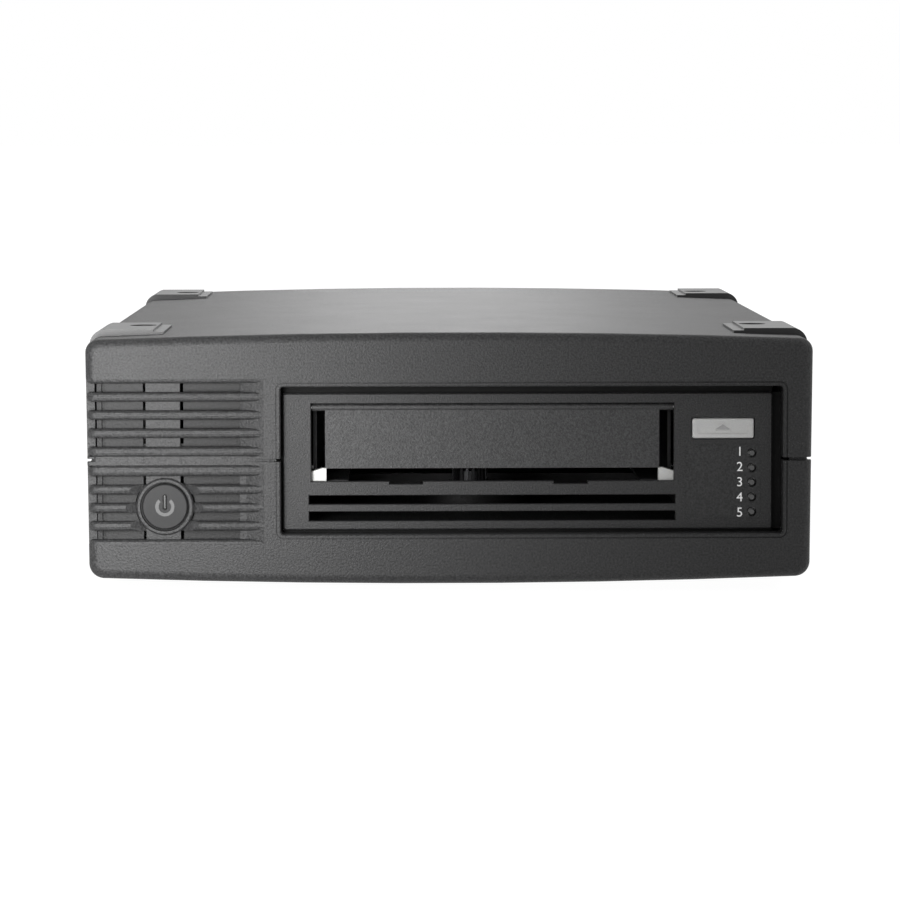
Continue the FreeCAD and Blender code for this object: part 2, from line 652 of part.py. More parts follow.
def make_baffles():
    """Plates behind the louvres: raised blocks that the slots show, air slits between them."""
    left = -half_width(0) + WALL + 0.1
    left_block = (VENT_LEFT_X + 3.0, COLUMN_X[0] - BAFFLE_SLIT)
    right_block = (COLUMN_X[1] + BAFFLE_SLIT, VENT_RIGHT_X - 0.1)
    upper_z = (SEAM_Z + TONGUE_HEIGHT + 0.4, UPPER_SLOT_TOP + BAFFLE_LAP)
    lower_z = (slot_rows(LOWER_SLOT_TOP)[-1][0] - BAFFLE_LAP, SEAM_Z - 0.8)
    for name, z in (("vent_baffle_upper", upper_z), ("vent_baffle_lower", lower_z)):
        web = box((left, VENT_RIGHT_X + 2), (BAFFLE_DEPTH, BAFFLE_DEPTH + BAFFLE_T), z)
        blocks = [web, box((left, left + 1.4), (FRONT_WALL, BAFFLE_DEPTH + EPS), z),
                  box(left_block, (FRONT_WALL + 0.1, BAFFLE_DEPTH + EPS), z),
                  box(right_block, (FRONT_WALL + 1.2, BAFFLE_DEPTH + EPS), z)]
        edge = (z[1] - 1.4, z[1]) if name.endswith("upper") else (z[0], z[0] + 1.4)
        blocks.append(box((left, VENT_RIGHT_X + 2), (FRONT_WALL, BAFFLE_DEPTH + EPS), edge))
        plate = fuse(blocks)
        inner = (z[0] + 2.0, z[1] - 2.0)
        for x in (COLUMN_X[0] - BAFFLE_SLIT, COLUMN_X[1]):
            plate = plate.cut(box((x, x + BAFFLE_SLIT), (0, 10), inner))
        if name.endswith("lower"):
            plate = plate.cut(rod_y(POWER_X, POWER_Z, POWER_FLANGE_R + 0.7, (0, 20)))
        node(name, plate)


# ================================================================ pads and feet
def pad_section(flip):
    """Outline of a stacking pad on the right side; flip gives the matching base pad."""
    if flip:
        low, side = BASE_PAD_Z, BASE_SIDE_Z
        outer = half_width(side)
        ring = [V(PAD_INNER_X, 0, low + BASE_PAD_LIFT), V(PAD_INNER_X, 0, low + 2 * PAD_ROOT),
                V(outer - PAD_ROOT, 0, side), V(outer, 0, side), V(outer, 0, BASE_ROUND_Z)]
        start, end = V(outer, 0, BASE_ROUND_Z), V(PAD_FLAT_X[1] - 1.0, 0, low)
        tail = [V(PAD_FLAT_X[0], 0, low), V(PAD_INNER_X, 0, low + BASE_PAD_LIFT)]
    else:
        ring = [V(PAD_INNER_X, 0, PAD_TOP_Z - PAD_STEP), V(PAD_INNER_X, 0, PAD_SIDE_Z - PAD_ROOT),
                V(PAD_OUTER_X - PAD_ROOT, 0, PAD_SIDE_Z), V(PAD_OUTER_X, 0, PAD_SIDE_Z)]
        start, end = V(PAD_OUTER_X, 0, PAD_SIDE_Z), V(PAD_FLAT_X[1], 0, PAD_TOP_Z)
        tail = [V(PAD_FLAT_X[0], 0, PAD_TOP_Z), V(PAD_FLAT_X[0], 0, PAD_TOP_Z - PAD_STEP),
                V(PAD_INNER_X, 0, PAD_TOP_Z - PAD_STEP)]
    edges = [Part.LineSegment(ring[i], ring[i + 1]).toShape() for i in range(len(ring) - 1)]
    edges.append(side_round(start, end))
    points = [end] + tail
    edges += [Part.LineSegment(points[i], points[i + 1]).toShape()
              for i in range(len(points) - 1)]
    return Part.Face(Part.Wire(Part.sortEdges(edges)[0]))


def side_round(start, end):
    """Arc that leaves start straight up or down and ends at end."""
    across, up = start.x - end.x, end.z - start.z
    r = (across ** 2 + up ** 2) / (2 * across)
    turn = math.atan2(up, r - across) / 2
    middle = V(start.x - r + r * math.cos(turn), 0, start.z + r * math.sin(turn))
    return Part.Arc(start, middle, end).toShape()


def make_pads():
    form = case_form(0, 0)
    top = pad_section(False).extrude(V(0, PAD_LENGTH, 0)).translated(V(0, y_at(PAD_SETBACK), 0))
    top = top.cut(form)
    top = top.cut(rod_z(DIMPLE_X, DIMPLE_S, DIMPLE_R, (PAD_TOP_Z - DIMPLE_DEPTH, PAD_TOP_Z + 1)))
    base = pad_section(True).extrude(V(0, BASE_PAD_LENGTH, 0))
    base = base.translated(V(0, y_at(BASE_PAD_SETBACK), 0)).cut(form)
    base = base.cut(rod_z(DIMPLE_X, DIMPLE_S, FOOT_R + 0.05, (0, BASE_PAD_Z + FOOT_SOCKET)))
    foot = rod_z(DIMPLE_X, DIMPLE_S, FOOT_R, (0, BASE_PAD_Z + FOOT_SOCKET))
    foot = foot.makeChamfer(0.5, [e for e in foot.Edges if e.BoundBox.ZMax < 0.01])
    feet = []
    for side, flip_x in (("right", False), ("left", True)):
        for end, flip_y in (("front", False), ("rear", True)):
            shapes = []
            for shape in (top, base, foot):
                shape = mirrored_x(shape) if flip_x else shape
                shape = shape.mirror(V(0, 0, 0), V(0, 1, 0)) if flip_y else shape
                shapes.append(shape)
            node("stacking_pad_%s_%s" % (end, side), biggest(shapes[0]))
            node("base_pad_%s_%s" % (end, side), biggest(shapes[1]))
            feet.append(shapes[2])
    node("rubber_feet", *feet)


def biggest(shape):
    return max(shape.Solids, key=lambda s: s.Volume)


# ================================================================ power button
def make_power_button():
    disc = rod_y(POWER_X, POWER_Z, POWER_R, (POWER_FACE_DEPTH - 0.1, FRONT_WALL + 0.8))
    disc = disc.makeChamfer(0.4, front_edges(disc, POWER_FACE_DEPTH - 0.1))
    flange = rod_y(POWER_X, POWER_Z, POWER_FLANGE_R, (FRONT_WALL + 0.7, FRONT_WALL + 1.7))
    stem = rod_y(POWER_X, POWER_Z, POWER_STEM_R, (FRONT_WALL + 1.6, POWER_STEM_END))
    node("power_button", fuse([disc, flange, stem]))
    contact = POWER_STEM_END + POWER_TRAVEL + RUN_GAP
    body = box((POWER_X - 6, POWER_X + 6), (contact, 22.4), (POWER_Z - 6, POWER_Z + 6))
    board = box((POWER_X - 9, POWER_X + 9), (22.4, 22.4 + BOARD_T), (12.0, 38.0))
    node("power_switch", fuse([body, board]))


# ================================================================ drive
def chassis_inner_x():
    return (DRIVE_X[0] + SHEET, DRIVE_X[1] - SHEET)


FLOOR_Z = DRIVE_Z[0] + SHEET
DRIVE_REAR = DRIVE_FRONT + DRIVE_LENGTH
BOARD_POSTS = ((-40.0, 190.0), (88.0, 190.0), (-40.0, 117.0), (88.0, 117.0))
BOARD_POST_R = 2.5
CABLE_DOOR = ((CONNECTOR_X[0] - 2.0, CONNECTOR_X[1] + 2.0), (25.0, 40.0))
LID_EAR = (3.2, 4.0, 9.0)    # half width, half length, height
LID_DENT = ((-30.0, 77.0), (60.0, 190.0), 0.4)
LID_SCREWS = ((-46.6, 200.0), (93.9, 200.0), (-46.6, 30.0), (93.9, 30.0))
SIDE_SCREWS_S = (52.0, 131.4)
SIDE_SCREW_Z = 41.5


def make_chassis():
    outer = box(DRIVE_X, (DRIVE_FRONT, DRIVE_REAR), (DRIVE_Z[0], DRIVE_Z[1] - LID_T))
    inner = box(chassis_inner_x(), (DRIVE_FRONT - 1, DRIVE_REAR - SHEET), (FLOOR_Z, 80))
    chassis = outer.cut(inner)
    chassis = chassis.cut(box(CABLE_DOOR[0], (DRIVE_REAR - 5, DRIVE_REAR + 1), CABLE_DOOR[1]))
    posts = [rod_z(x, s, BOARD_POST_R, (FLOOR_Z - 0.5, MAIN_BOARD_Z)) for x, s in BOARD_POSTS]
    chassis = fuse([chassis] + posts)
    rim = DRIVE_Z[1] - LID_T
    for x, s in LID_SCREWS:
        ear = box(grown((x, x), LID_EAR[0]), grown((s, s), LID_EAR[1]), (rim - LID_EAR[2], rim))
        ear = ear.common(box(DRIVE_X, (0, DEPTH), (0, BIG)))
        chassis = chassis.fuse(ear)
        chassis = chassis.cut(rod_z(x, s, SCREW_R, (DRIVE_Z[1] - LID_SCREW_LENGTH - 1.0, BIG)))
    for s in SIDE_SCREWS_S:
        chassis = chassis.cut(rod_x(s, SIDE_SCREW_Z, SCREW_R, grown((DRIVE_X[0],) * 2, 5.0)))
        chassis = chassis.cut(rod_x(s, SIDE_SCREW_Z, SCREW_R, grown((DRIVE_X[1],) * 2, 5.0)))
    node("drive_chassis", chassis.removeSplitter())
    lid = box(DRIVE_X, (DRIVE_FRONT, DRIVE_REAR), (DRIVE_Z[1] - LID_T, DRIVE_Z[1]))
    dent_x, dent_s, dent_depth = LID_DENT
    lid = lid.cut(slab_z_slot(dent_x, dent_s, (DRIVE_Z[1] - dent_depth, BIG), 5.0))
    for x, s in LID_SCREWS:
        lid = lid.cut(rod_z(x, s, SCREW_R + SCREW_CLEAR, (50, 80)))
    node("drive_lid", lid)


def make_tray():
    x = (DRIVE_X[0] - TRAY_T, DRIVE_X[1] + TRAY_T)
    floor = box(x, TRAY_S, (DRIVE_Z[0] - TRAY_T, DRIVE_Z[0]))
    sides = [box((x[0], DRIVE_X[0]), TRAY_S, (DRIVE_Z[0] - TRAY_T, TRAY_SIDE_Z)),
             box((DRIVE_X[1], x[1]), TRAY_S, (DRIVE_Z[0] - TRAY_T, TRAY_SIDE_Z))]
    tray = fuse([floor] + sides)
    below = (0, DRIVE_Z[0] + 1)
    for s in TRAY_SLOTS_S:
        tray = tray.cut(slab_z_slot(TRAY_SLOT[0], grown((s, s), TRAY_SLOT[1] / 2), below,
                                    TRAY_SLOT[2]))
    for s in SIDE_SCREWS_S:
        tray = tray.cut(rod_x(s, SIDE_SCREW_Z, SCREW_R + SCREW_CLEAR, grown(x, 5.0)))
    for bx, bs in TRAY_BOSSES:
        tray = tray.cut(rod_z(bx, bs, SCREW_R + SCREW_CLEAR, below))
    node("drive_tray", tray)
    screws = []
    for s in SIDE_SCREWS_S:
        screws.append(screw(V(x[0], y_at(s), SIDE_SCREW_Z), V(1, 0, 0), SHEET + TRAY_T))
        screws.append(screw(V(x[1], y_at(s), SIDE_SCREW_Z), V(-1, 0, 0), SHEET + TRAY_T))
    for lx, ls in LID_SCREWS:
        screws.append(screw(V(lx, y_at(ls), DRIVE_Z[1]), V(0, 0, -1), LID_SCREW_LENGTH,
                            LID_SCREW_HEAD_R))
    node("drive_screws", *screws)


def slab_z_slot(x, s, z, r):
    """Upright prism with rounded corners in plan."""
    return rounded(box(x, s, z), V(0, 0, 1), r)


def is_opening_edge(edge):
    """True for the edges round the mouth and the air slots in the bezel's face."""
    b = edge.BoundBox
    return (b.XMin > AIR_SLOT_X[0] - 0.1 and b.XMax < AIR_SLOT_X[1] + 0.1
            and b.ZMin > AIR_SLOTS_Z[1][0] - 0.1 and b.ZMax < MOUTH_Z[1] + 0.1)


def make_bezel():
    outer = slab_y(BEZEL_X, BEZEL_Z, (BEZEL_FACE, DRIVE_FRONT), BEZEL_R)
    outer = outer.makeChamfer(0.4, front_edges(outer, BEZEL_FACE))
    hollow = box(grown(BEZEL_X, -BEZEL_RIM), (BEZEL_FACE + BEZEL_T, DRIVE_FRONT + 1),
                 grown(BEZEL_Z, -BEZEL_RIM))
    bezel = outer.cut(hollow)
    axis_s, axis_z = hinge_axis()
    for x in ((MOUTH_X[0] - 3.0, MOUTH_X[0]), (MOUTH_X[1], MOUTH_X[1] + 3.0)):
        ear = box(x, (BEZEL_FACE + BEZEL_T - 0.5, axis_s + 2.2), (axis_z - 2.0, BEZEL_Z[1] - 1.0))
        bezel = bezel.fuse(ear)
    bezel = bezel.cut(box(MOUTH_X, (0, DRIVE_FRONT + 1), MOUTH_Z))
    for x in MOUTH_NOTCHES_X:
        notch = box(x, (0, DRIVE_FRONT), (MOUTH_Z[0] - MOUTH_NOTCH, MOUTH_Z[0] + 1))
        bezel = bezel.cut(notch)
    for z in AIR_SLOTS_Z:
        bezel = bezel.cut(box(AIR_SLOT_X, (0, BEZEL_FACE + BEZEL_T + 1), z))
    bezel = bezel.makeChamfer(BEZEL_EDGE, [e for e in front_edges(bezel, BEZEL_FACE)
                                           if is_opening_edge(e)])
    bezel = bezel.cut(slab_y(grown(EJECT_X, EJECT_CLEAR), grown(EJECT_Z, EJECT_CLEAR),
                             (0, DRIVE_FRONT), EJECT_R + EJECT_CLEAR))
    bezel = bezel.cut(slab_y(PANEL_X, PANEL_Z, (0, BEZEL_FACE + PANEL_DEPTH), PANEL_R))
    for z in LIGHTS_Z:
        bezel = bezel.cut(rod_y(LIGHT_X, z, LIGHT_HOLE_R, (0, DRIVE_FRONT)))
    pin_bore = rod_x(axis_s, axis_z, DOOR_PIN_R, (MOUTH_X[0] - 2.5, MOUTH_X[1] + 2.5))
    bezel = bezel.cut(pin_bore)
    node("drive_bezel", bezel.removeSplitter())
    node("door_hinge_pin", pin_bore)

    pipes = []
    bar_s = (BEZEL_FACE + BEZEL_T, BEZEL_FACE + BEZEL_T + 1.4)
    for z in LIGHTS_Z:
        pipe = rod_y(LIGHT_X, z, LIGHT_R, (BEZEL_FACE - LIGHT_PROUD, FRONT_BOARD_S - RUN_GAP))
        pipes.append(pipe.makeChamfer(LIGHT_PROUD, front_edges(pipe, BEZEL_FACE - LIGHT_PROUD)))
    bar = box((LIGHT_X - 1.9, LIGHT_X + 1.9), bar_s, (LIGHTS_Z[-1] - 2.2, LIGHTS_Z[0] + 2.2))
    node("status_light_pipes", fuse([bar] + pipes))

    board = box(FRONT_BOARD_X, (FRONT_BOARD_S, FRONT_BOARD_S + BOARD_T),
                (FLOOR_Z, DRIVE_Z[1] - LID_T - 0.2))
    chip_x, chip_z, chip_t = FRONT_CHIP
    back = FRONT_BOARD_S + BOARD_T
    node("front_board", fuse([board, box(chip_x, (back, back + chip_t), chip_z)]))


def make_eject_button():
    cap = slab_y(EJECT_X, EJECT_Z, (BEZEL_FACE - EJECT_PROUD, BEZEL_FACE + BEZEL_T + 0.8),
                 EJECT_R)
    cap = cap.makeChamfer(0.25, front_edges(cap, BEZEL_FACE - EJECT_PROUD))
    dish = slab_y(grown(EJECT_X, -EJECT_DISH[0]), grown(EJECT_Z, -EJECT_DISH[1]),
                  (0, BEZEL_FACE - EJECT_PROUD + EJECT_DISH[2]), 0.4)
    flange = box(grown(EJECT_X, 1.2), (BEZEL_FACE + BEZEL_T + RUN_GAP,
                                       BEZEL_FACE + BEZEL_T + RUN_GAP + 1.0), grown(EJECT_Z, 1.2))
    middle = ((EJECT_X[0] + EJECT_X[1]) / 2, (EJECT_Z[0] + EJECT_Z[1]) / 2)
    switch_face = FRONT_BOARD_S - 2.0
    stem = rod_y(middle[0], middle[1], 1.5,
                 (BEZEL_FACE + BEZEL_T, switch_face - EJECT_TRAVEL - RUN_GAP))
    node("eject_button", fuse([cap.cut(dish), flange, stem]))
    node("eject_switch", box((middle[0] - 3, middle[0] + 3), (switch_face, FRONT_BOARD_S),
                             (middle[1] - 3, middle[1] + 3)))


def hinge_axis():
    """Depth and height of the door's hinge line."""
    return DOOR_DEPTH + DOOR_T / 2, MOUTH_Z[1] - 0.1 - DOOR_BARREL_R


def make_door():
    axis_s, axis_z = hinge_axis()
    faces = (DOOR_DEPTH, DOOR_DEPTH + DOOR_T)
    panel = slab_y(DOOR_X, (DOOR_BOTTOM_Z, axis_z), faces, 0.4)
    wide = grown(MOUTH_X, -DOOR_CLEAR)
    band = box(wide, faces, (MOUTH_Z[1] - DOOR_BAND, axis_z))
    barrel = rod_x(axis_s, axis_z, DOOR_BARREL_R, wide)
    door = fuse([panel, band, barrel])
    door = door.cut(rod_x(axis_s, axis_z, DOOR_PIN_R + DOOR_PIN_CLEAR, grown(MOUTH_X, 5)))
    node("cartridge_door", door)


# ================================================================ loader
CARTRIDGE_MID_X = (MOUTH_X[0] + MOUTH_X[1]) / 2
CRADLE_INNER = CARTRIDGE[0] / 2 + CARTRIDGE_PLAY
CRADLE_OUTER = CRADLE_INNER + CRADLE_T
CAM_INNER = CRADLE_OUTER + CAM_GAP
GUIDE_INNER = CAM_INNER + CAM_T + GUIDE_GAP
PIN_TIP = GUIDE_INNER + GUIDE_T
CRADLE_REAR = CRADLE_FRONT + CARTRIDGE[1] + 1.5


def mid_x(low, high):
    """X range of something on the right of the cartridge's middle line."""
    return (CARTRIDGE_MID_X + low, CARTRIDGE_MID_X + high)


def both_sides(shape):
    """A right-hand shape and its mirror image about the cartridge's middle line."""
    return [shape, mirrored_x(shape, CARTRIDGE_MID_X)]


def make_loader():
    top_z = CRADLE_FLOOR_Z + CARTRIDGE[2] + CARTRIDGE_PLAY + CRADLE_T
    floor_z = (CRADLE_FLOOR_Z - CRADLE_T, CRADLE_FLOOR_Z)
    length = (CRADLE_FRONT, CRADLE_REAR)
    floor = box(mid_x(-CRADLE_OUTER, CRADLE_OUTER), length, floor_z)
    gap_x = (CARTRIDGE_MID_X - CRADLE_OUTER + CRADLE_FLANGES[0],
             CARTRIDGE_MID_X + CRADLE_OUTER - CRADLE_FLANGES[1])
    floor = floor.cut(box(gap_x, (0, CRADLE_BRIDGE), (0, 80)))
    side = box(mid_x(CRADLE_INNER, CRADLE_OUTER), length, (floor_z[0], top_z))
    door_reach = DOOR_DEPTH + MOUTH_Z[1] - DOOR_BOTTOM_Z + 3.0
    lip = box(mid_x(CRADLE_INNER - 5, CRADLE_OUTER), (door_reach, CRADLE_REAR),
              (top_z - CRADLE_T, top_z))
    stop = box(mid_x(-20, 20), (CRADLE_REAR - CRADLE_T, CRADLE_REAR), (floor_z[0], 42.0))
    node("cartridge_cradle", fuse([floor, stop] + both_sides(side) + both_sides(lip)))

    pins = [rod_x(s, PIN_Z, PIN_R, mid_x(CRADLE_OUTER, PIN_TIP)) for s in PINS_S]
    node("cradle_pins", *[p for pin in pins for p in both_sides(pin)])

    plate = box(mid_x(CAM_INNER, CAM_INNER + CAM_T), (CAM_FRONT, CAM_REAR), CAM_Z)
    bar = box(mid_x(-CAM_INNER - CAM_T, CAM_INNER + CAM_T),
              (CAM_REAR - CAM_BAR_LENGTH, CAM_REAR), CAM_BAR_Z)
    arm = box(mid_x(CAM_INNER, CAM_INNER + CAM_T), (CAM_REAR - CAM_BAR_LENGTH, CAM_REAR),
              (CAM_BAR_Z[0], CAM_Z[1]))
    cam = fuse([plate, arm])
    for s in PINS_S:
        cam = cam.cut(slanted_slot(s))
    node("loader_slide", fuse([bar] + both_sides(cam)))

    guide = box(mid_x(GUIDE_INNER, GUIDE_INNER + GUIDE_T), (PINS_S[0] - 8, PINS_S[1] + 8),
                (FLOOR_Z, GUIDE_TOP_Z))
    half = PIN_R + PIN_CLEAR
    for s in PINS_S:
        guide = guide.cut(box(mid_x(0, 80), (s - half, s + half),
                              (PIN_Z - CRADLE_DROP - half, PIN_Z + half)))
    node("cradle_guides", *both_sides(guide))

    low, high = GUIDE_BLOCK_Z
    inner = CARTRIDGE_MID_X + CARTRIDGE[0] / 2 - GUIDE_BLOCK_REACH[0]
    outer = CARTRIDGE_MID_X + CRADLE_OUTER + GUIDE_BLOCK_REACH[1]
    front = y_at(BEZEL_FACE + BEZEL_T)
    ring = [V(inner, front, low), V(outer, front, low), V(outer, front, high - GUIDE_BLOCK_SLOPE),
            V(inner + GUIDE_BLOCK_SLOPE, front, high), V(inner, front, high)]
    block = extruded(ring, V(0, DRIVE_FRONT - BEZEL_FACE - BEZEL_T, 0))
    node("cartridge_guides", *both_sides(block))


def slanted_slot(s):
    """Slot of a cam plate: the pin falls by the cradle's drop while the plate goes forward."""
    half = PIN_R + PIN_CLEAR
    run = V(0, CAM_TRAVEL, -CRADLE_DROP)
    start = V(CARTRIDGE_MID_X + CAM_INNER - 1, y_at(s), PIN_Z)
    out = V(CAM_T + 2, 0, 0)
    across = V(0, CRADLE_DROP, CAM_TRAVEL).normalize() * half
    sides = [start + across, start + run + across, start + run - across, start - across]
    ends = [Part.makeCylinder(half, out.x, p, V(1, 0, 0)) for p in (start, start + run)]
    return fuse([extruded(sides, out)] + ends)


# ================================================================ reels, head and rollers
def make_reels():
    motor_top = FLOOR_Z + REEL_MOTOR_H
    motor = rod_z(CLUTCH_X, CLUTCH_S, REEL_MOTOR_R, (FLOOR_Z, motor_top))
    shaft = rod_z(CLUTCH_X, CLUTCH_S, REEL_SHAFT_R, (FLOOR_Z, CLUTCH_TOP_Z - 1.0))
    node("reel_motor", fuse([motor, shaft]))
    teeth_z = (CLUTCH_TOP_Z - CLUTCH_TOOTH_LENGTH, CLUTCH_TOP_Z)
    core = rod_z(CLUTCH_X, CLUTCH_S, CLUTCH_CORE_R, (motor_top + RUN_GAP, CLUTCH_TOP_Z - 0.8))
    flange = rod_z(CLUTCH_X, CLUTCH_S, CLUTCH_R + 0.8, (motor_top + RUN_GAP, teeth_z[0]))
    tooth = box((CLUTCH_X + CLUTCH_CORE_R - 0.6, CLUTCH_X + CLUTCH_R),
                (CLUTCH_S - CLUTCH_TOOTH / 2, CLUTCH_S + CLUTCH_TOOTH / 2), teeth_z)
    axis = V(CLUTCH_X, y_at(CLUTCH_S), 0)
    teeth = [tooth.rotated(axis, V(0, 0, 1), 360.0 * i / CLUTCH_TEETH)
             for i in range(CLUTCH_TEETH)]
    clutch = fuse([core, flange] + teeth)
    bore = rod_z(CLUTCH_X, CLUTCH_S, REEL_SHAFT_R + SHAFT_CLEAR, (0, CLUTCH_TOP_Z + 1))
    node("reel_clutch", clutch.cut(bore))

    motor_top = FLOOR_Z + TAKE_UP_MOTOR_H
    low = motor_top + RUN_GAP
    high = low + 2 * TAKE_UP_FLANGE + TAPE_WIDTH_ROOM
    motor = rod_z(TAKE_UP_X, TAKE_UP_S, TAKE_UP_MOTOR_R, (FLOOR_Z, motor_top))
    shaft = rod_z(TAKE_UP_X, TAKE_UP_S, TAKE_UP_SHAFT_R, (FLOOR_Z, high - 1.0))
    node("take_up_motor", fuse([motor, shaft]))
    flanges = [rod_z(TAKE_UP_X, TAKE_UP_S, TAKE_UP_R, (low, low + TAKE_UP_FLANGE)),
               rod_z(TAKE_UP_X, TAKE_UP_S, TAKE_UP_R, (high - TAKE_UP_FLANGE, high))]
    reel = fuse([rod_z(TAKE_UP_X, TAKE_UP_S, TAKE_UP_HUB_R, (low, high))] + flanges)
    axis = V(TAKE_UP_X, y_at(TAKE_UP_S), 0)
    window = rod_z(TAKE_UP_X + 31.0, TAKE_UP_S, 7.0, (high - 3, high + 1))
    for i in range(5):
        reel = reel.cut(window.rotated(axis, V(0, 0, 1), 72.0 * i))
    bore = rod_z(TAKE_UP_X, TAKE_UP_S, TAKE_UP_SHAFT_R + SHAFT_CLEAR, (0, 80))
    node("take_up_reel", reel.cut(bore))


def make_tape_path():
    low = HEAD_BASE_Z[1]
    base = box((chassis_inner_x()[0], HEAD_BASE_X), HEAD_BASE_S, HEAD_BASE_Z)
    base = rounded(base, V(0, 0, 1), 2.0)
    rod_top = low + HEAD_HEIGHT + 3 * HEAD_TRAVEL
    head_mid_s = (HEAD_S[0] + HEAD_S[1]) / 2
    rods_x = (HEAD_X[0] + 3, HEAD_X[1] - 3)
    rods = [rod_z(x, head_mid_s, HEAD_ROD_R, (low - 1, rod_top)) for x in rods_x]
    node("head_base", fuse([base] + rods))
    head_z = (low + HEAD_TRAVEL + RUN_GAP, low + HEAD_TRAVEL + RUN_GAP + HEAD_HEIGHT)
    head = slab_z_slot(HEAD_X, HEAD_S, head_z, 2.5)
    for x in rods_x:
        head = head.cut(rod_z(x, head_mid_s, HEAD_ROD_R + SHAFT_CLEAR, (0, 80)))
    node("head_carriage", head)
    posts = []
    roller_z = (low + RUN_GAP, low + RUN_GAP + TAPE_WIDTH_ROOM + 2 * ROLLER_RIM)
    for i, (x, s) in enumerate(ROLLERS):
        posts.append(rod_z(x, s, ROLLER_POST_R, (low, roller_z[1] + 1.0)))
        barrel = rod_z(x, s, ROLLER_R, roller_z)
        rims = [rod_z(x, s, ROLLER_RIM_R, (roller_z[0], roller_z[0] + ROLLER_RIM)),
                rod_z(x, s, ROLLER_RIM_R, (roller_z[1] - ROLLER_RIM, roller_z[1]))]
        roller = fuse([barrel] + rims)
        roller = roller.cut(rod_z(x, s, ROLLER_POST_R + SHAFT_CLEAR, (0, 80)))
        node("guide_roller_%d" % (i + 1), roller)
    node("roller_posts", *posts)


# ================================================================ boards and cables
def make_boards():
    top = MAIN_BOARD_Z + BOARD_T
    board = box(grown(chassis_inner_x(), -BOARD_EDGE), MAIN_BOARD_S, (MAIN_BOARD_Z, top))
    board = board.cut(rod_z(TAKE_UP_X, TAKE_UP_S, TAKE_UP_MOTOR_R + 1.0, (0, 80)))
    chips = [box((x, x + width), (s, s + length), (top - EPS, top + CHIP_T))
             for x, s, width, length in BOARD_CHIPS]
    node("main_board", fuse([board] + chips))
    node("drive_connector", box(CONNECTOR_X, (MAIN_BOARD_S[1] - CONNECTOR_LAP,
                                              DRIVE_REAR + CONNECTOR_PROUD),
                                (top, top + CONNECTOR_HEIGHT)))


def bent_tube(points, r, bend):
    """Round cable along straight runs joined by tangent arcs."""
    edges = []
    here = points[0]
    for i in range(1, len(points) - 1):
        p = points[i]
        back = (points[i - 1] - p).normalize()
        ahead = (points[i + 1] - p).normalize()
        half = back.getAngle(ahead) / 2
        reach = bend / math.tan(half)
        a, b = p + back * reach, p + ahead * reach
        centre = p + (back + ahead).normalize() * (bend / math.sin(half))
        middle = centre + (p - centre).normalize() * bend
        edges.append(Part.LineSegment(here, a).toShape())
        edges.append(Part.Arc(a, middle, b).toShape())
        here = b
    edges.append(Part.LineSegment(here, points[-1]).toShape())
    path = Part.Wire(edges)
    start = (points[1] - points[0]).normalize()
    section = Part.Wire(Part.Circle(points[0], start, r).toShape())
    return path.makePipeShell([section], True, True)


def make_cables():
    """Data and power leads from the back of the drive; their bends share out the room."""
    rear = DRIVE_REAR + CONNECTOR_PROUD
    z = MAIN_BOARD_Z + BOARD_T + CONNECTOR_HEIGHT / 2
    port_front = REAR_FACE - PANEL_T - PORT_DEPTH
    room = port_front - rear
    data = bent_tube([V(CABLE_START_X, y_at(rear), z),
                      V(CABLE_START_X, y_at(rear + room * 0.28), z),
                      V(PORT_X, y_at(rear + room * 0.66), PORT_Z),
                      V(PORT_X, y_at(port_front), PORT_Z)], CABLE_R, CABLE_BEND)
    node("data_cable", data)
    node("power_cable", rod_y(POWER_CABLE_X, z, POWER_CABLE_R, (rear, SUPPLY_S[0])))


# ================================================================ power supply, fan, rear
def make_supply():
    outer = box(SUPPLY_X, SUPPLY_S, SUPPLY_Z)
    case = outer.cut(box(grown(SUPPLY_X, -SUPPLY_T), grown(SUPPLY_S, -SUPPLY_T),
                         grown(SUPPLY_Z, -SUPPLY_T)))
    for i in range(SUPPLY_VENTS):
        x = SUPPLY_X[0] + SUPPLY_FOOT + i * SUPPLY_VENT_PITCH
        case = case.cut(box((x, x + SUPPLY_VENT_WIDTH), (SUPPLY_S[1] - 5, SUPPLY_S[1] + 1),
                            SUPPLY_VENT_Z))
    node("supply_case", case)
    z = SUPPLY_Z[0] + SUPPLY_T
    room_x, room_s = grown(SUPPLY_X, -SUPPLY_T - 2), grown(SUPPLY_S, -SUPPLY_T - 2)
    board = box(room_x, room_s, (z, z + BOARD_T))
    middle_x, middle_s = sum(room_x) / 2, sum(room_s) / 2
    width, length, height = SUPPLY_TRANSFORMER
    transformer = box((middle_x - width / 2, middle_x + width / 2),
                      (middle_s - length / 2, middle_s + length / 2), (z, z + height))
    can_r, can_height = SUPPLY_CAPACITOR
    cans = [rod_z(room_x[0] + x, room_s[0] + 1 + can_r, can_r, (z, z + can_height))
            for x in (can_r + 1, 3 * can_r + 3)]
    sink = box((room_x[1] - 3 - SUPPLY_SINK[0], room_x[1] - 3), grown(room_s, -6),
               (z, z + SUPPLY_SINK[1]))
    node("supply_board", fuse([board, transformer, sink] + cans))


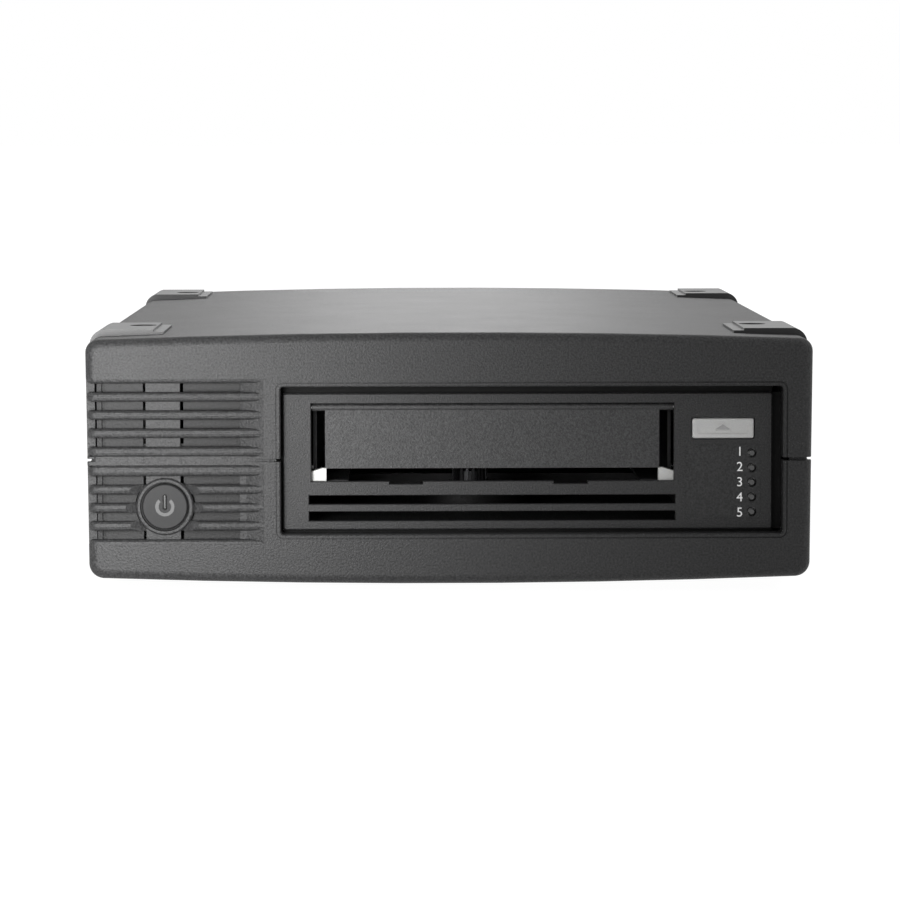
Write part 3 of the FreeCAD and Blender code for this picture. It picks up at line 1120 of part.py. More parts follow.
def make_fan():
    front = REAR_FACE - PANEL_T - FAN_T
    rear = front + FAN_T
    half = FAN_SIZE / 2
    frame = box((FAN_X - half, FAN_X + half), (front, rear), (FAN_Z - half, FAN_Z + half))
    frame = rounded(frame, V(0, 1, 0), FAN_CORNER_R)
    waist = slab_y((FAN_X - half - 1, FAN_X + half + 1), (FAN_Z - half - 1, FAN_Z + half + 1),
                   (front + FAN_FLANGE_T, rear - FAN_FLANGE_T), FAN_CORNER_R)
    drum = rod_y(FAN_X, FAN_Z, half - 0.2, (front, rear))
    frame = frame.cut(waist.cut(drum)).fuse(drum)
    frame = frame.cut(rod_y(FAN_X, FAN_Z, FAN_BORE_R, (front - 1, rear + 1)))
    hub_s = (rear - FAN_HUB_T, rear)
    hub = rod_y(FAN_X, FAN_Z, FAN_HUB_R, hub_s)
    spoke = box((FAN_X - FAN_SPOKE[0] / 2, FAN_X + FAN_SPOKE[0] / 2), (rear - FAN_SPOKE[1], rear),
                (FAN_Z, FAN_Z + FAN_BORE_R + 0.5))
    axis = V(FAN_X, 0, FAN_Z)
    spokes = [spoke.rotated(axis, V(0, 1, 0), 360.0 / FAN_SPOKES * i + 30)
              for i in range(FAN_SPOKES)]
    shaft = rod_y(FAN_X, FAN_Z, FAN_SHAFT_R, (front + FAN_FLANGE_T, rear - FAN_HUB_T + 1.0))
    frame = fuse([frame, hub, shaft] + spokes)
    frame = frame.cut(fan_holes(front - 1, rear + 1))
    node("fan_frame", frame)

    turning = (front + FAN_HUB_T / 2 - 0.5, hub_s[0] - RUN_GAP)
    cup = rod_y(FAN_X, FAN_Z, FAN_HUB_R, turning)
    blade = box((FAN_X - FAN_BLADE_T / 2, FAN_X + FAN_BLADE_T / 2),
                (turning[0] + 1.5, turning[1] - 1.2), (FAN_Z + FAN_HUB_R - 1, FAN_Z + FAN_BLADE_R))
    blade = blade.rotated(V(FAN_X, y_at(sum(turning) / 2), FAN_Z), V(0, 0, 1), FAN_BLADE_TURN)
    blade = blade.common(rod_y(FAN_X, FAN_Z, FAN_BLADE_R, turning))
    blades = [blade.rotated(axis, V(0, 1, 0), 360.0 * i / FAN_BLADES)
              for i in range(FAN_BLADES)]
    rotor = fuse([cup] + blades)
    bore = rod_y(FAN_X, FAN_Z, FAN_SHAFT_R + SHAFT_CLEAR, (front + FAN_FLANGE_T - 0.5, rear))
    node("fan_rotor", rotor.cut(bore))


def fan_holes(start, end):
    """The four mounting holes of the fan."""
    half = FAN_HOLE_PITCH / 2
    holes = [rod_y(FAN_X + dx, FAN_Z + dz, SCREW_R, (start, end))
             for dx in (-half, half) for dz in (-half, half)]
    return Part.makeCompound(holes)


def centred(middle, size):
    """(low, high) about a middle."""
    return (middle - size / 2, middle + size / 2)


def grille_slots():
    """(x range, z range) of each slot of the fan grille, cut short by the fan's circle."""
    rows = int(FAN_BORE_R // GRILLE_PITCH)
    slots = []
    for i in range(-rows, rows + 1):
        offset = i * GRILLE_PITCH
        reach = math.sqrt(FAN_BORE_R ** 2 - offset ** 2) - GRILLE_RIM
        z = centred(FAN_Z + offset, GRILLE_SLOT)
        slots.append(((FAN_X - reach, FAN_X - GRILLE_BAR / 2), z))
        slots.append(((FAN_X + GRILLE_BAR / 2, FAN_X + reach), z))
    return [(x, z) for x, z in slots if x[1] - x[0] > GRILLE_BAR]


def make_rear():
    inner = REAR_FACE - PANEL_T
    outer = REAR_FACE
    through = (inner - 1, outer + 1)
    panel = slab_y((-REAR_OPENING_X - REAR_MARGIN, REAR_OPENING_X + REAR_MARGIN),
                   grown(REAR_OPENING_Z, REAR_MARGIN), (inner, outer), REAR_CORNER_R)
    for x, z in grille_slots():
        panel = panel.cut(box(x, through, z))
    panel = panel.cut(fan_holes(*through))
    body_x, body_z = centred(INLET_X, INLET_BODY[0]), centred(INLET_Z, INLET_BODY[1])
    port_x, port_z = centred(PORT_X, PORT_SIZE[0]), centred(PORT_Z, PORT_SIZE[1])
    panel = panel.cut(slab_y(body_x, body_z, through, INLET_BODY_R))
    panel = panel.cut(box(port_x, through, port_z))
    for px, pz in rear_screw_places():
        panel = panel.cut(rod_y(px, pz, SCREW_R + SCREW_CLEAR, through))
    for i in range(REAR_VENTS):
        x = REAR_VENT_X + i * REAR_VENT_PITCH
        panel = panel.cut(box((x, x + REAR_VENT_WIDTH), through, REAR_VENT_Z))
    node("rear_panel", panel)
    node("rear_screws", *[screw(V(px, y_at(outer), pz), V(0, -1, 0), REAR_SCREW_LENGTH)
                          for px, pz in rear_screw_places()])
    half = FAN_HOLE_PITCH / 2
    node("fan_screws", *[screw(V(FAN_X + dx, y_at(outer), FAN_Z + dz), V(0, -1, 0),
                               FAN_SCREW_LENGTH, FAN_SCREW_HEAD_R)
                         for dx in (-half, half) for dz in (-half, half)])

    body = slab_y(body_x, body_z, (outer - INLET_DEPTH - INLET_WALL, outer + 1.0), INLET_BODY_R)
    flange = slab_y(centred(INLET_X, INLET_FLANGE[0]), centred(INLET_Z, INLET_FLANGE[1]),
                    (outer, outer + INLET_FLANGE_T), INLET_FLANGE_R)
    recess = slab_y(centred(INLET_X, INLET_RECESS[0]), centred(INLET_Z, INLET_RECESS[1]),
                    (outer - INLET_DEPTH, outer + 3), INLET_RECESS_R)
    node("power_inlet", fuse([body, flange]).cut(recess))
    node("inlet_pins", *[box(centred(INLET_X + dx, INLET_PIN[0]),
                             (outer - INLET_DEPTH, outer - INLET_PIN_SET_BACK),
                             centred(INLET_Z + dz, INLET_PIN[1])) for dx, dz in INLET_PINS])

    port = box(port_x, (inner - PORT_DEPTH, outer + PORT_PROUD), port_z)
    room = box(grown(port_x, -PORT_WALL), (inner - PORT_DEPTH + 2 * PORT_WALL, outer + 3),
               grown(port_z, -PORT_WALL))
    node("data_port", port.cut(room))


def main():
    make_case()
    make_baffles()
    make_pads()
    make_power_button()
    make_chassis()
    make_tray()
    make_bezel()
    make_eject_button()
    make_door()
    make_loader()
    make_reels()
    make_tape_path()
    make_boards()
    make_cables()
    make_supply()
    make_fan()
    make_rear()
    os.makedirs("parts", exist_ok=True)
    for name, shape in NODES.items():
        if not shape.isValid():
            print("INVALID", name)
        shape.exportStep("parts/%s.step" % name)
        print(name, len(shape.Solids), round(shape.Volume, 1))


main()
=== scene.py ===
"""Dresses the external tape drive.

Smooth skins, finishes, printed numerals, signs, strips of painted shade in the bay gap, floor,
lamps and camera.
"""
from __future__ import annotations

import json
import logging
import math
from dataclasses import dataclass, field
from enum import Enum

import bpy
from mathutils import Matrix, Vector

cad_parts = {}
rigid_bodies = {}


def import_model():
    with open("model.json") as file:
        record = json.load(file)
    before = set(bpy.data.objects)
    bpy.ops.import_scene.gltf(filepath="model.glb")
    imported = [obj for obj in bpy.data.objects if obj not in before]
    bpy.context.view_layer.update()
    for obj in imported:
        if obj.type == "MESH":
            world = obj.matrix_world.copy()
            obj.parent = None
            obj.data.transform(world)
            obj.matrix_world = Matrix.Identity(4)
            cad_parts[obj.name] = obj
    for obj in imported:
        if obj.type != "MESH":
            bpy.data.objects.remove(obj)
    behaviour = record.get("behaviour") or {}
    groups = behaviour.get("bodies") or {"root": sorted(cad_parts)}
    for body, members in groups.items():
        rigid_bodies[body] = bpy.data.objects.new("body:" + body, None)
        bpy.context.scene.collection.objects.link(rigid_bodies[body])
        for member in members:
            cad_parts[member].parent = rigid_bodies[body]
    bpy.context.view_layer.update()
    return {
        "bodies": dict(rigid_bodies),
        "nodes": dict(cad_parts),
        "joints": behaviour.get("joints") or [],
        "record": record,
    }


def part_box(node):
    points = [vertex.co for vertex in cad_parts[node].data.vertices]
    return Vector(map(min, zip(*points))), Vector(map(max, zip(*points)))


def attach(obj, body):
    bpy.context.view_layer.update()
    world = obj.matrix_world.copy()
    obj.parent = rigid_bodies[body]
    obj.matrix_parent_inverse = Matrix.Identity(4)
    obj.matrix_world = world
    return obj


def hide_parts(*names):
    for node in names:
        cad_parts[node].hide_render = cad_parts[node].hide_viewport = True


LOG = logging.getLogger("tape_drive")
MM = 0.001

Colour = tuple[float, float, float]


# ---------------------------------------------------------------- finishes
@dataclass
class Bench:
    """A material's node tree, with the shader that its patterns feed.

    Args:
        name: the material's name.
    """

    name: str

    def __post_init__(self) -> None:
        """Makes the material with a clean tree."""
        self.material = bpy.data.materials.new(self.name)
        self.material.use_nodes = True
        self.tree = self.material.node_tree
        self.shader = self.tree.nodes["Principled BSDF"]
        self.where = self.tree.nodes.new("ShaderNodeTexCoord")

    def add(self, kind: str, **inputs: object) -> bpy.types.Node:
        """Adds a node and sets its sockets.

        Args:
            kind: the node's type, such as ShaderNodeTexNoise.
            **inputs: socket values, with _ for a space in a socket's name.

        Returns:
            The new node.
        """
        node = self.tree.nodes.new(kind)
        for socket, value in inputs.items():
            node.inputs[socket.replace("_", " ")].default_value = value
        return node

    def link(self, source: bpy.types.NodeSocket, target: bpy.types.NodeSocket) -> None:
        """Joins one socket to another."""
        self.tree.links.new(source, target)

    def noise(self, size_mm: float, detail: float = 2.0,
              stretch: Colour = (1.0, 1.0, 1.0)) -> bpy.types.NodeSocket:
        """Adds a noise pattern in object space.

        Args:
            size_mm: the size of one blotch or grain.
            detail: how many finer layers it has.
            stretch: how much finer the pattern is along each axis.

        Returns:
            The pattern's value, from 0 to 1.
        """
        turn = self.add("ShaderNodeMapping", Scale=stretch)
        self.link(self.where.outputs["Object"], turn.inputs["Vector"])
        noise = self.add("ShaderNodeTexNoise", Scale=1.0 / (size_mm * MM), Detail=detail)
        self.link(turn.outputs["Vector"], noise.inputs["Vector"])
        return noise.outputs["Fac"]

    def remap(self, value: bpy.types.NodeSocket, low: float, high: float,
              start: float = 0.3, stop: float = 0.7) -> bpy.types.NodeSocket:
        """Spreads a pattern's middle over a range.

        Args:
            value: the pattern.
            low: what the pattern gives at start.
            high: what it gives at stop.
            start: the pattern's value at low.
            stop: the pattern's value at high.

        Returns:
            The spread value.
        """
        spread = self.add("ShaderNodeMapRange", From_Min=start, From_Max=stop, To_Min=low,
                          To_Max=high)
        self.link(value, spread.inputs["Value"])
        return spread.outputs["Result"]

    def tint(self, value: bpy.types.NodeSocket, dark: Colour, light: Colour) -> None:
        """Lets a pattern choose between two colours for the shader."""
        ramp = self.add("ShaderNodeMix")
        ramp.data_type = "RGBA"
        for socket in ramp.inputs:
            if socket.name in ("A", "B") and socket.type == "RGBA":
                socket.default_value = (*(dark if socket.name == "A" else light), 1.0)
        self.link(value, ramp.inputs["Factor"])
        colour_out = [s for s in ramp.outputs if s.type == "RGBA"][0]
        self.link(colour_out, self.shader.inputs["Base Color"])

    def rough(self, value: bpy.types.NodeSocket) -> None:
        """Lets a pattern set the roughness."""
        self.link(value, self.shader.inputs["Roughness"])

    def relief(self, value: bpy.types.NodeSocket, height_mm: float, strength: float = 1.0) -> None:
        """Lets a pattern raise the surface.

        Args:
            value: the height pattern.
            height_mm: how high a full step of the pattern stands.
            strength: how much of the relief shows.
        """
        bump = self.add("ShaderNodeBump", Strength=strength, Distance=height_mm * MM)
        self.link(value, bump.inputs["Height"])
        if self.shader.inputs["Normal"].is_linked:
            first = self.shader.inputs["Normal"].links[0].from_socket
            self.link(first, bump.inputs["Normal"])
        self.link(bump.outputs["Normal"], self.shader.inputs["Normal"])


def shade(colour: Colour, factor: float) -> Colour:
    """Gives a colour made lighter or darker by a factor."""
    return tuple(min(1.0, part * factor) for part in colour)


@dataclass(frozen=True)
class MouldedPlastic:
    """Satin plastic from a textured mould: fine grain, faint mottle and handling sheen."""

    name: str
    colour: Colour
    roughness: float = 0.5
    grain_mm: float = 0.55
    grain_height_mm: float = 0.05
    mottle: float = 0.12
    gloss: float = 0.35

    def material(self) -> bpy.types.Material:
        """Builds the node material."""
        bench = Bench(self.name)
        grain = bench.noise(self.grain_mm, 3.0)
        cloud = bench.noise(18.0, 2.0)
        bench.tint(bench.remap(grain, 0.0, 1.0), shade(self.colour, 1 - self.mottle),
                   shade(self.colour, 1 + self.mottle))
        bench.rough(bench.remap(cloud, self.roughness - 0.01, self.roughness + 0.01))
        bench.relief(grain, self.grain_height_mm)
        bench.shader.inputs["Specular IOR Level"].default_value = self.gloss
        return bench.material


@dataclass(frozen=True)
class SheetMetal:
    """Rolled or plated sheet: brushed along one way, with a soft spangle."""

    name: str
    colour: Colour
    roughness: float = 0.35
    metallic: float = 1.0
    brush: Colour = (1.0, 0.04, 1.0)
    brush_mm: float = 0.35
    spangle_mm: float = 6.0

    def material(self) -> bpy.types.Material:
        """Builds the node material."""
        bench = Bench(self.name)
        lines = bench.noise(self.brush_mm, 3.0, self.brush)
        patch = bench.noise(self.spangle_mm, 1.0)
        bench.tint(bench.remap(patch, 0.0, 1.0), shade(self.colour, 0.9), shade(self.colour, 1.08))
        bench.rough(bench.remap(lines, self.roughness - 0.06, self.roughness + 0.08))
        bench.relief(lines, 0.01)
        bench.shader.inputs["Metallic"].default_value = self.metallic
        return bench.material


@dataclass(frozen=True)
class CastMetal:
    """Die-cast or turned metal with a pitted or finely turned face."""

    name: str
    colour: Colour
    roughness: float = 0.45
    pit_mm: float = 0.8
    pit_height_mm: float = 0.04

    def material(self) -> bpy.types.Material:
        """Builds the node material."""
        bench = Bench(self.name)
        pits = bench.noise(self.pit_mm, 4.0)
        bench.tint(bench.remap(pits, 0.0, 1.0), shade(self.colour, 0.82), shade(self.colour, 1.1))
        bench.rough(bench.remap(pits, self.roughness + 0.1, self.roughness - 0.05))
        bench.relief(pits, self.pit_height_mm)
        bench.shader.inputs["Metallic"].default_value = 1.0
        return bench.material


@dataclass(frozen=True)
class SoftRubber:
    """Matt rubber with a dusty bloom."""

    name: str
    colour: Colour
    roughness: float = 0.85

    def material(self) -> bpy.types.Material:
        """Builds the node material."""
        bench = Bench(self.name)
        bloom = bench.noise(3.0, 4.0)
        bench.tint(bench.remap(bloom, 0.0, 1.0), shade(self.colour, 0.8), shade(self.colour, 1.5))
        bench.rough(bench.remap(bloom, self.roughness - 0.05, self.roughness + 0.1))
        bench.relief(bench.noise(0.4, 2.0), 0.03)
        bench.shader.inputs["Specular IOR Level"].default_value = 0.2
        return bench.material


@dataclass(frozen=True)
class BoardLaminate:
    """Circuit board: solder mask over copper runs."""

    name: str
    mask: Colour
    copper: Colour
    track_mm: float = 2.2

    def material(self) -> bpy.types.Material:
        """Builds the node material."""
        bench = Bench(self.name)
        cells = bench.add("ShaderNodeTexBrick", Scale=1.0 / (self.track_mm * MM * 4),
                          Mortar_Size=0.03)
        cells.inputs["Color1"].default_value = (0.0, 0.0, 0.0, 1.0)
        cells.inputs["Color2"].default_value = (0.25, 0.25, 0.25, 1.0)
        cells.inputs["Mortar"].default_value = (1.0, 1.0, 1.0, 1.0)
        bench.link(bench.where.outputs["Object"], cells.inputs["Vector"])
        bench.tint(cells.outputs["Color"], self.mask, self.copper)
        bench.rough(bench.remap(bench.noise(5.0), 0.28, 0.4))
        bench.relief(cells.outputs["Color"], 0.03)
        return bench.material


@dataclass(frozen=True)
class LampLens:
    """Unlit light pipe: smoky clear plastic over a pale diffuser."""

    name: str
    colour: Colour
    roughness: float = 0.22

    def material(self) -> bpy.types.Material:
        """Builds the node material."""
        bench = Bench(self.name)
        haze = bench.noise(0.9, 2.0)
        bench.tint(bench.remap(haze, 0.0, 1.0), shade(self.colour, 0.85), shade(self.colour, 1.15))
        bench.rough(bench.remap(haze, self.roughness - 0.03, self.roughness + 0.05))
        bench.shader.inputs["Coat Weight"].default_value = 0.6
        bench.shader.inputs["Coat Roughness"].default_value = 0.08
        return bench.material


@dataclass(frozen=True)
class PrintInk:
    """Pad-printed ink: flat colour with the faint unevenness of a print."""

    name: str
    colour: Colour
    roughness: float = 0.6

    def material(self) -> bpy.types.Material:
        """Builds the node material."""
        bench = Bench(self.name)
        body = bench.noise(0.5, 2.0)
        bench.tint(bench.remap(body, 0.0, 1.0), shade(self.colour, 0.93), self.colour)
        bench.rough(bench.remap(body, self.roughness - 0.05, self.roughness + 0.05))
        return bench.material


class Finish(Enum):
    """Every finish of the drive."""

    CASE = MouldedPlastic("case_charcoal", (0.018, 0.018, 0.0184), 0.5, 0.6, 0.20, 0.6, 0.25)
    # Baffle darker than the case: painted shade in the vent recesses.
    BAFFLE = MouldedPlastic("baffle_charcoal_painted_shade", (0.011, 0.011, 0.0112), 0.5, 0.6, 0.13, 0.45, 0.18)
    PAD = MouldedPlastic("pad_charcoal", (0.015, 0.015, 0.0155), 0.38, 0.3, 0.012, 0.05)
    BUTTON = MouldedPlastic("button_charcoal", (0.011, 0.011, 0.0113), 0.5, 0.4, 0.02, 0.06, 0.15)
    BEZEL = MouldedPlastic("bezel_charcoal", (0.017, 0.017, 0.0174), 0.5, 0.5, 0.18, 0.6, 0.27)
    DOOR = MouldedPlastic("door_charcoal", (0.022, 0.022, 0.0225), 0.48, 0.5, 0.18, 0.6, 0.32)
    EJECT = MouldedPlastic("eject_grey", (0.42, 0.42, 0.415), 0.5, 0.4, 0.02, 0.05)
    EJECT_SIGN = MouldedPlastic("eject_sign_grey", (0.27, 0.27, 0.268), 0.5, 0.4, 0.02, 0.05)
    SIGN = MouldedPlastic("sign_dark", (0.012, 0.012, 0.012), 0.4, 0.4, 0.01, 0.05)
    WHITE = MouldedPlastic("guide_white", (0.45, 0.45, 0.44), 0.4, 0.4, 0.015, 0.04)
    BLACK = MouldedPlastic("moulding_black", (0.014, 0.014, 0.014), 0.45, 0.4, 0.02, 0.1)
    REEL = MouldedPlastic("reel_grey", (0.10, 0.10, 0.105), 0.42, 0.4, 0.015, 0.06)
    LENS = LampLens("lens_smoke", (0.014, 0.014, 0.014))
    INK = PrintInk("ink_white", (0.86, 0.86, 0.86))
    RUBBER = SoftRubber("foot_rubber_black", (0.02, 0.02, 0.02))
    # Near-black strips in the bay gap: painted shade for the dark inside of the gap.
    FOAM = SoftRubber("gap_painted_shade_black", (0.006, 0.006, 0.006), 0.95)
    CORD = SoftRubber("cable_sleeve_black", (0.018, 0.018, 0.018), 0.7)
    STEEL = SheetMetal("plated_steel_sheet", (0.56, 0.57, 0.58))
    # Near-black steel on plated parts: painted shade for the dark mouth and gaps.
    BLACKED = SheetMetal("painted_shade_steel_sheet", (0.012, 0.012, 0.0125), 0.6, 0.3)
    REAR = SheetMetal("rear_steel_painted", (0.055, 0.055, 0.057), 0.5, 0.2, (1.0, 1.0, 1.0), 0.5)
    ALLOY = CastMetal("cast_alloy_grey", (0.42, 0.43, 0.44))
    # Near-black metal: painted shade on the motors that show through the slots, and black oxide on
    # the drive screws.
    BLACK_OXIDE = CastMetal("black_oxide_and_painted_shade_steel", (0.02, 0.02, 0.02), 0.6, 0.5, 0.01)
    SCREW = CastMetal("screw_zinc", (0.38, 0.38, 0.39), 0.32, 0.4, 0.01)
    # Clutch steel darkened: painted shade on the clutch that shows under the door.
    CLUTCH = CastMetal("clutch_steel_painted_shade", (0.05, 0.05, 0.052), 0.5, 0.4, 0.01)
    ROLLER = CastMetal("roller_polished", (0.62, 0.62, 0.63), 0.14, 0.4, 0.002)
    HEAD = CastMetal("head_ceramic_dark", (0.10, 0.09, 0.08), 0.25, 0.6, 0.005)
    BRASS = CastMetal("pin_brass_plate", (0.66, 0.48, 0.22), 0.28, 0.5, 0.005)
    BOARD = BoardLaminate("board_green", (0.010, 0.055, 0.028), (0.05, 0.16, 0.07))


# ---------------------------------------------------------------- shading
@dataclass
class SurfaceShading:
    """Shading normals for a copy of a node, whose loose patches are the faces of its solids.

    A flat patch is shaded flat. A curved one is shaded smooth, and takes the normal of a
    patch that it runs into without an edge.

    Args:
        piece: the copy, the only piece selected.
        flat_deg: how little a flat patch may bend.
        meet_deg: patches that meet at less than this have no edge between them.
        bend_deg: how much a curved patch may turn from one facet to the next.
        merge_mm: vertices nearer than this are merged.
        mark: the name of the face mark that carries the patch numbers.
    """

    piece: bpy.types.Object
    flat_deg: float = 0.6
    meet_deg: float = 11.0
    bend_deg: float = 40.0
    merge_mm: float = 0.001
    mark: str = "patch"

    def patches(self) -> list[int]:
        """Gives the patch number of each polygon of the unmerged mesh."""
        mesh = self.piece.data
        leader = list(range(len(mesh.vertices)))

        def top(vertex: int) -> int:
            """Finds the vertex that leads a vertex's patch."""
            while leader[vertex] != vertex:
                leader[vertex] = leader[leader[vertex]]
                vertex = leader[vertex]
            return vertex

        for polygon in mesh.polygons:
            first = top(polygon.vertices[0])
            for vertex in polygon.vertices[1:]:
                leader[top(vertex)] = first
        return [top(polygon.vertices[0]) for polygon in mesh.polygons]

    def merge(self) -> list[int]:
        """Merges the doubled vertices.

        Returns:
            The patch number of each polygon that is left.
        """
        mesh = self.piece.data
        mesh.attributes.new(self.mark, "INT", "FACE").data.foreach_set("value", self.patches())
        bpy.ops.object.mode_set(mode="EDIT")
        bpy.ops.mesh.select_all(action="SELECT")
        bpy.ops.mesh.remove_doubles(threshold=self.merge_mm * MM)
        bpy.ops.object.mode_set(mode="OBJECT")
        numbers = [item.value for item in mesh.attributes[self.mark].data]
        mesh.attributes.remove(mesh.attributes[self.mark])
        return numbers

    def flat_normals(self, patch_of: list[int]) -> dict[int, Vector]:
        """Finds the flat patches.

        Args:
            patch_of: each polygon's patch number.

        Returns:
            The normal of every flat patch.
        """
        total: dict[int, Vector] = {}
        for patch, polygon in zip(patch_of, self.piece.data.polygons):
            total[patch] = total.get(patch, Vector()) + polygon.normal * polygon.area
        flat = {patch: normal.normalized() for patch, normal in total.items()}
        limit = math.cos(math.radians(self.flat_deg))
        for patch, polygon in zip(patch_of, self.piece.data.polygons):
            if patch in flat and polygon.normal.dot(flat[patch]) < limit:
                del flat[patch]
        return flat

    def apply(self) -> None:
        """Merges the mesh and sets its normals."""
        patch_of = self.merge()
        flat = self.flat_normals(patch_of)
        mesh = self.piece.data
        around: dict[int, list[bpy.types.MeshPolygon]] = {}
        for polygon in mesh.polygons:
            for vertex in polygon.vertices:
                around.setdefault(vertex, []).append(polygon)
        normals = [Vector()] * len(mesh.loops)
        for polygon in mesh.polygons:
            patch = patch_of[polygon.index]
            for loop, vertex in zip(polygon.loop_indices, polygon.vertices):
                normals[loop] = flat.get(patch) or self.curved_normal(
                    polygon, around[vertex], patch_of, flat)
        mesh.shade_smooth()
        mesh.normals_split_custom_set(normals)

    def curved_normal(self, polygon: bpy.types.MeshPolygon, near: list[bpy.types.MeshPolygon],
                      patch_of: list[int], flat: dict[int, Vector]) -> Vector:
        """Works out the normal at one corner of a curved patch.

        Args:
            polygon: the polygon that has the corner.
            near: all the polygons that share the corner.
            patch_of: each polygon's patch number.
            flat: the normals of the flat patches.

        Returns:
            The normal.
        """
        meet, bend = (math.cos(math.radians(angle)) for angle in (self.meet_deg, self.bend_deg))
        facing = polygon.normal
        joined = [flat[patch_of[other.index]] for other in near if patch_of[other.index] in flat
                  and flat[patch_of[other.index]].dot(facing) > meet]
        if joined:
            return max(joined, key=facing.dot)
        total = Vector()
        for other in near:
            same = patch_of[other.index] == patch_of[polygon.index]
            if patch_of[other.index] not in flat and other.normal.dot(facing) > (
                    bend if same else meet):
                total += other.normal * other.area
        return total.normalized() if total.length else facing.copy()


# ---------------------------------------------------------------- bench work
@dataclass
class Workshop:
    """The loaded frame, and the ways in which pieces join it.

    Args:
        made: the materials made so far, by finish.
    """

    frame: dict
    made: dict = field(default_factory=dict)

    def __post_init__(self) -> None:
        """Looks up which body each node belongs to."""
        record = self.frame["record"]
        groups = record["behaviour"]["bodies"]
        self.body_of = {node: body for body, nodes in groups.items() for node in nodes}

    def material(self, finish: Finish) -> bpy.types.Material:
        """Gives a finish's material, made once."""
        if finish not in self.made:
            self.made[finish] = finish.value.material()
        return self.made[finish]

    def paint(self, piece: bpy.types.Object, finish: Finish) -> None:
        """Puts one finish all over a piece."""
        piece.data.materials.clear()
        piece.data.materials.append(self.material(finish))

    def dress(self, node: str, finish: Finish) -> None:
        """Puts a finish on a node that is shown as it is."""
        self.paint(self.frame["nodes"][node], finish)

    def deselect(self) -> None:
        """Leaves nothing selected."""
        if bpy.context.object and bpy.context.object.mode != "OBJECT":
            bpy.ops.object.mode_set(mode="OBJECT")
        bpy.ops.object.select_all(action="DESELECT")

    def pick(self, piece: bpy.types.Object) -> None:
        """Selects one piece alone and makes it active."""
        self.deselect()
        piece.select_set(True)
        bpy.context.view_layer.objects.active = piece

    def settle(self, piece: bpy.types.Object) -> None:
        """Moves a piece's place, turn and scale into its mesh."""
        self.pick(piece)
        bpy.ops.object.transform_apply(location=True, rotation=True, scale=True)

    def adopt(self, piece: bpy.types.Object, body: str, slot: str, finish: Finish) -> None:
        """Gives a new piece its finish and body.

        Args:
            piece: the piece, with its place in its mesh.
            body: the body that it rides on.
            slot: not used.
            finish: its finish.
        """
        self.paint(piece, finish)
        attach(piece, body)
        LOG.info("made %s on %s: %d faces", piece.name, body, len(piece.data.polygons))

    def skin(self, node: str, slot: str, finish: Finish) -> bpy.types.Object:
        """Makes a smoothly shaded skin of a node and shows it in the node's place.

        Args:
            node: the node that the skin stands for.
            slot: the record's material slot.
            finish: the skin's finish.

        Returns:
            The skin.
        """
        source = self.frame["nodes"][node]
        piece = bpy.data.objects.new(f"{node}_skin", source.data.copy())
        bpy.context.scene.collection.objects.link(piece)
        self.pick(piece)
        SurfaceShading(piece).apply()
        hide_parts(node)
        self.adopt(piece, self.body_of[node], slot, finish)
        return piece


# ---------------------------------------------------------------- case
@dataclass
class CaseSkins:
    """The two-part case with its baffles, pads, feet and screws."""

    shop: Workshop

    def build(self) -> None:
        """Skins and dresses the case."""
        for node in ("upper_shell", "lower_shell"):
            self.shop.skin(node, "case_plastic", Finish.CASE)
        for level in ("upper", "lower"):
            # The baffles' darker colour is painted shade in the vent recesses.
            self.shop.dress(f"vent_baffle_{level}", Finish.BAFFLE)
        for place in ("front_left", "front_right", "rear_left", "rear_right"):
            self.shop.skin(f"stacking_pad_{place}", "pad_plastic", Finish.PAD)
            self.shop.skin(f"base_pad_{place}", "pad_plastic", Finish.PAD)
        self.shop.skin("rubber_feet", "foot_rubber", Finish.RUBBER)
        self.shop.skin("case_screws", "screw_steel", Finish.SCREW)


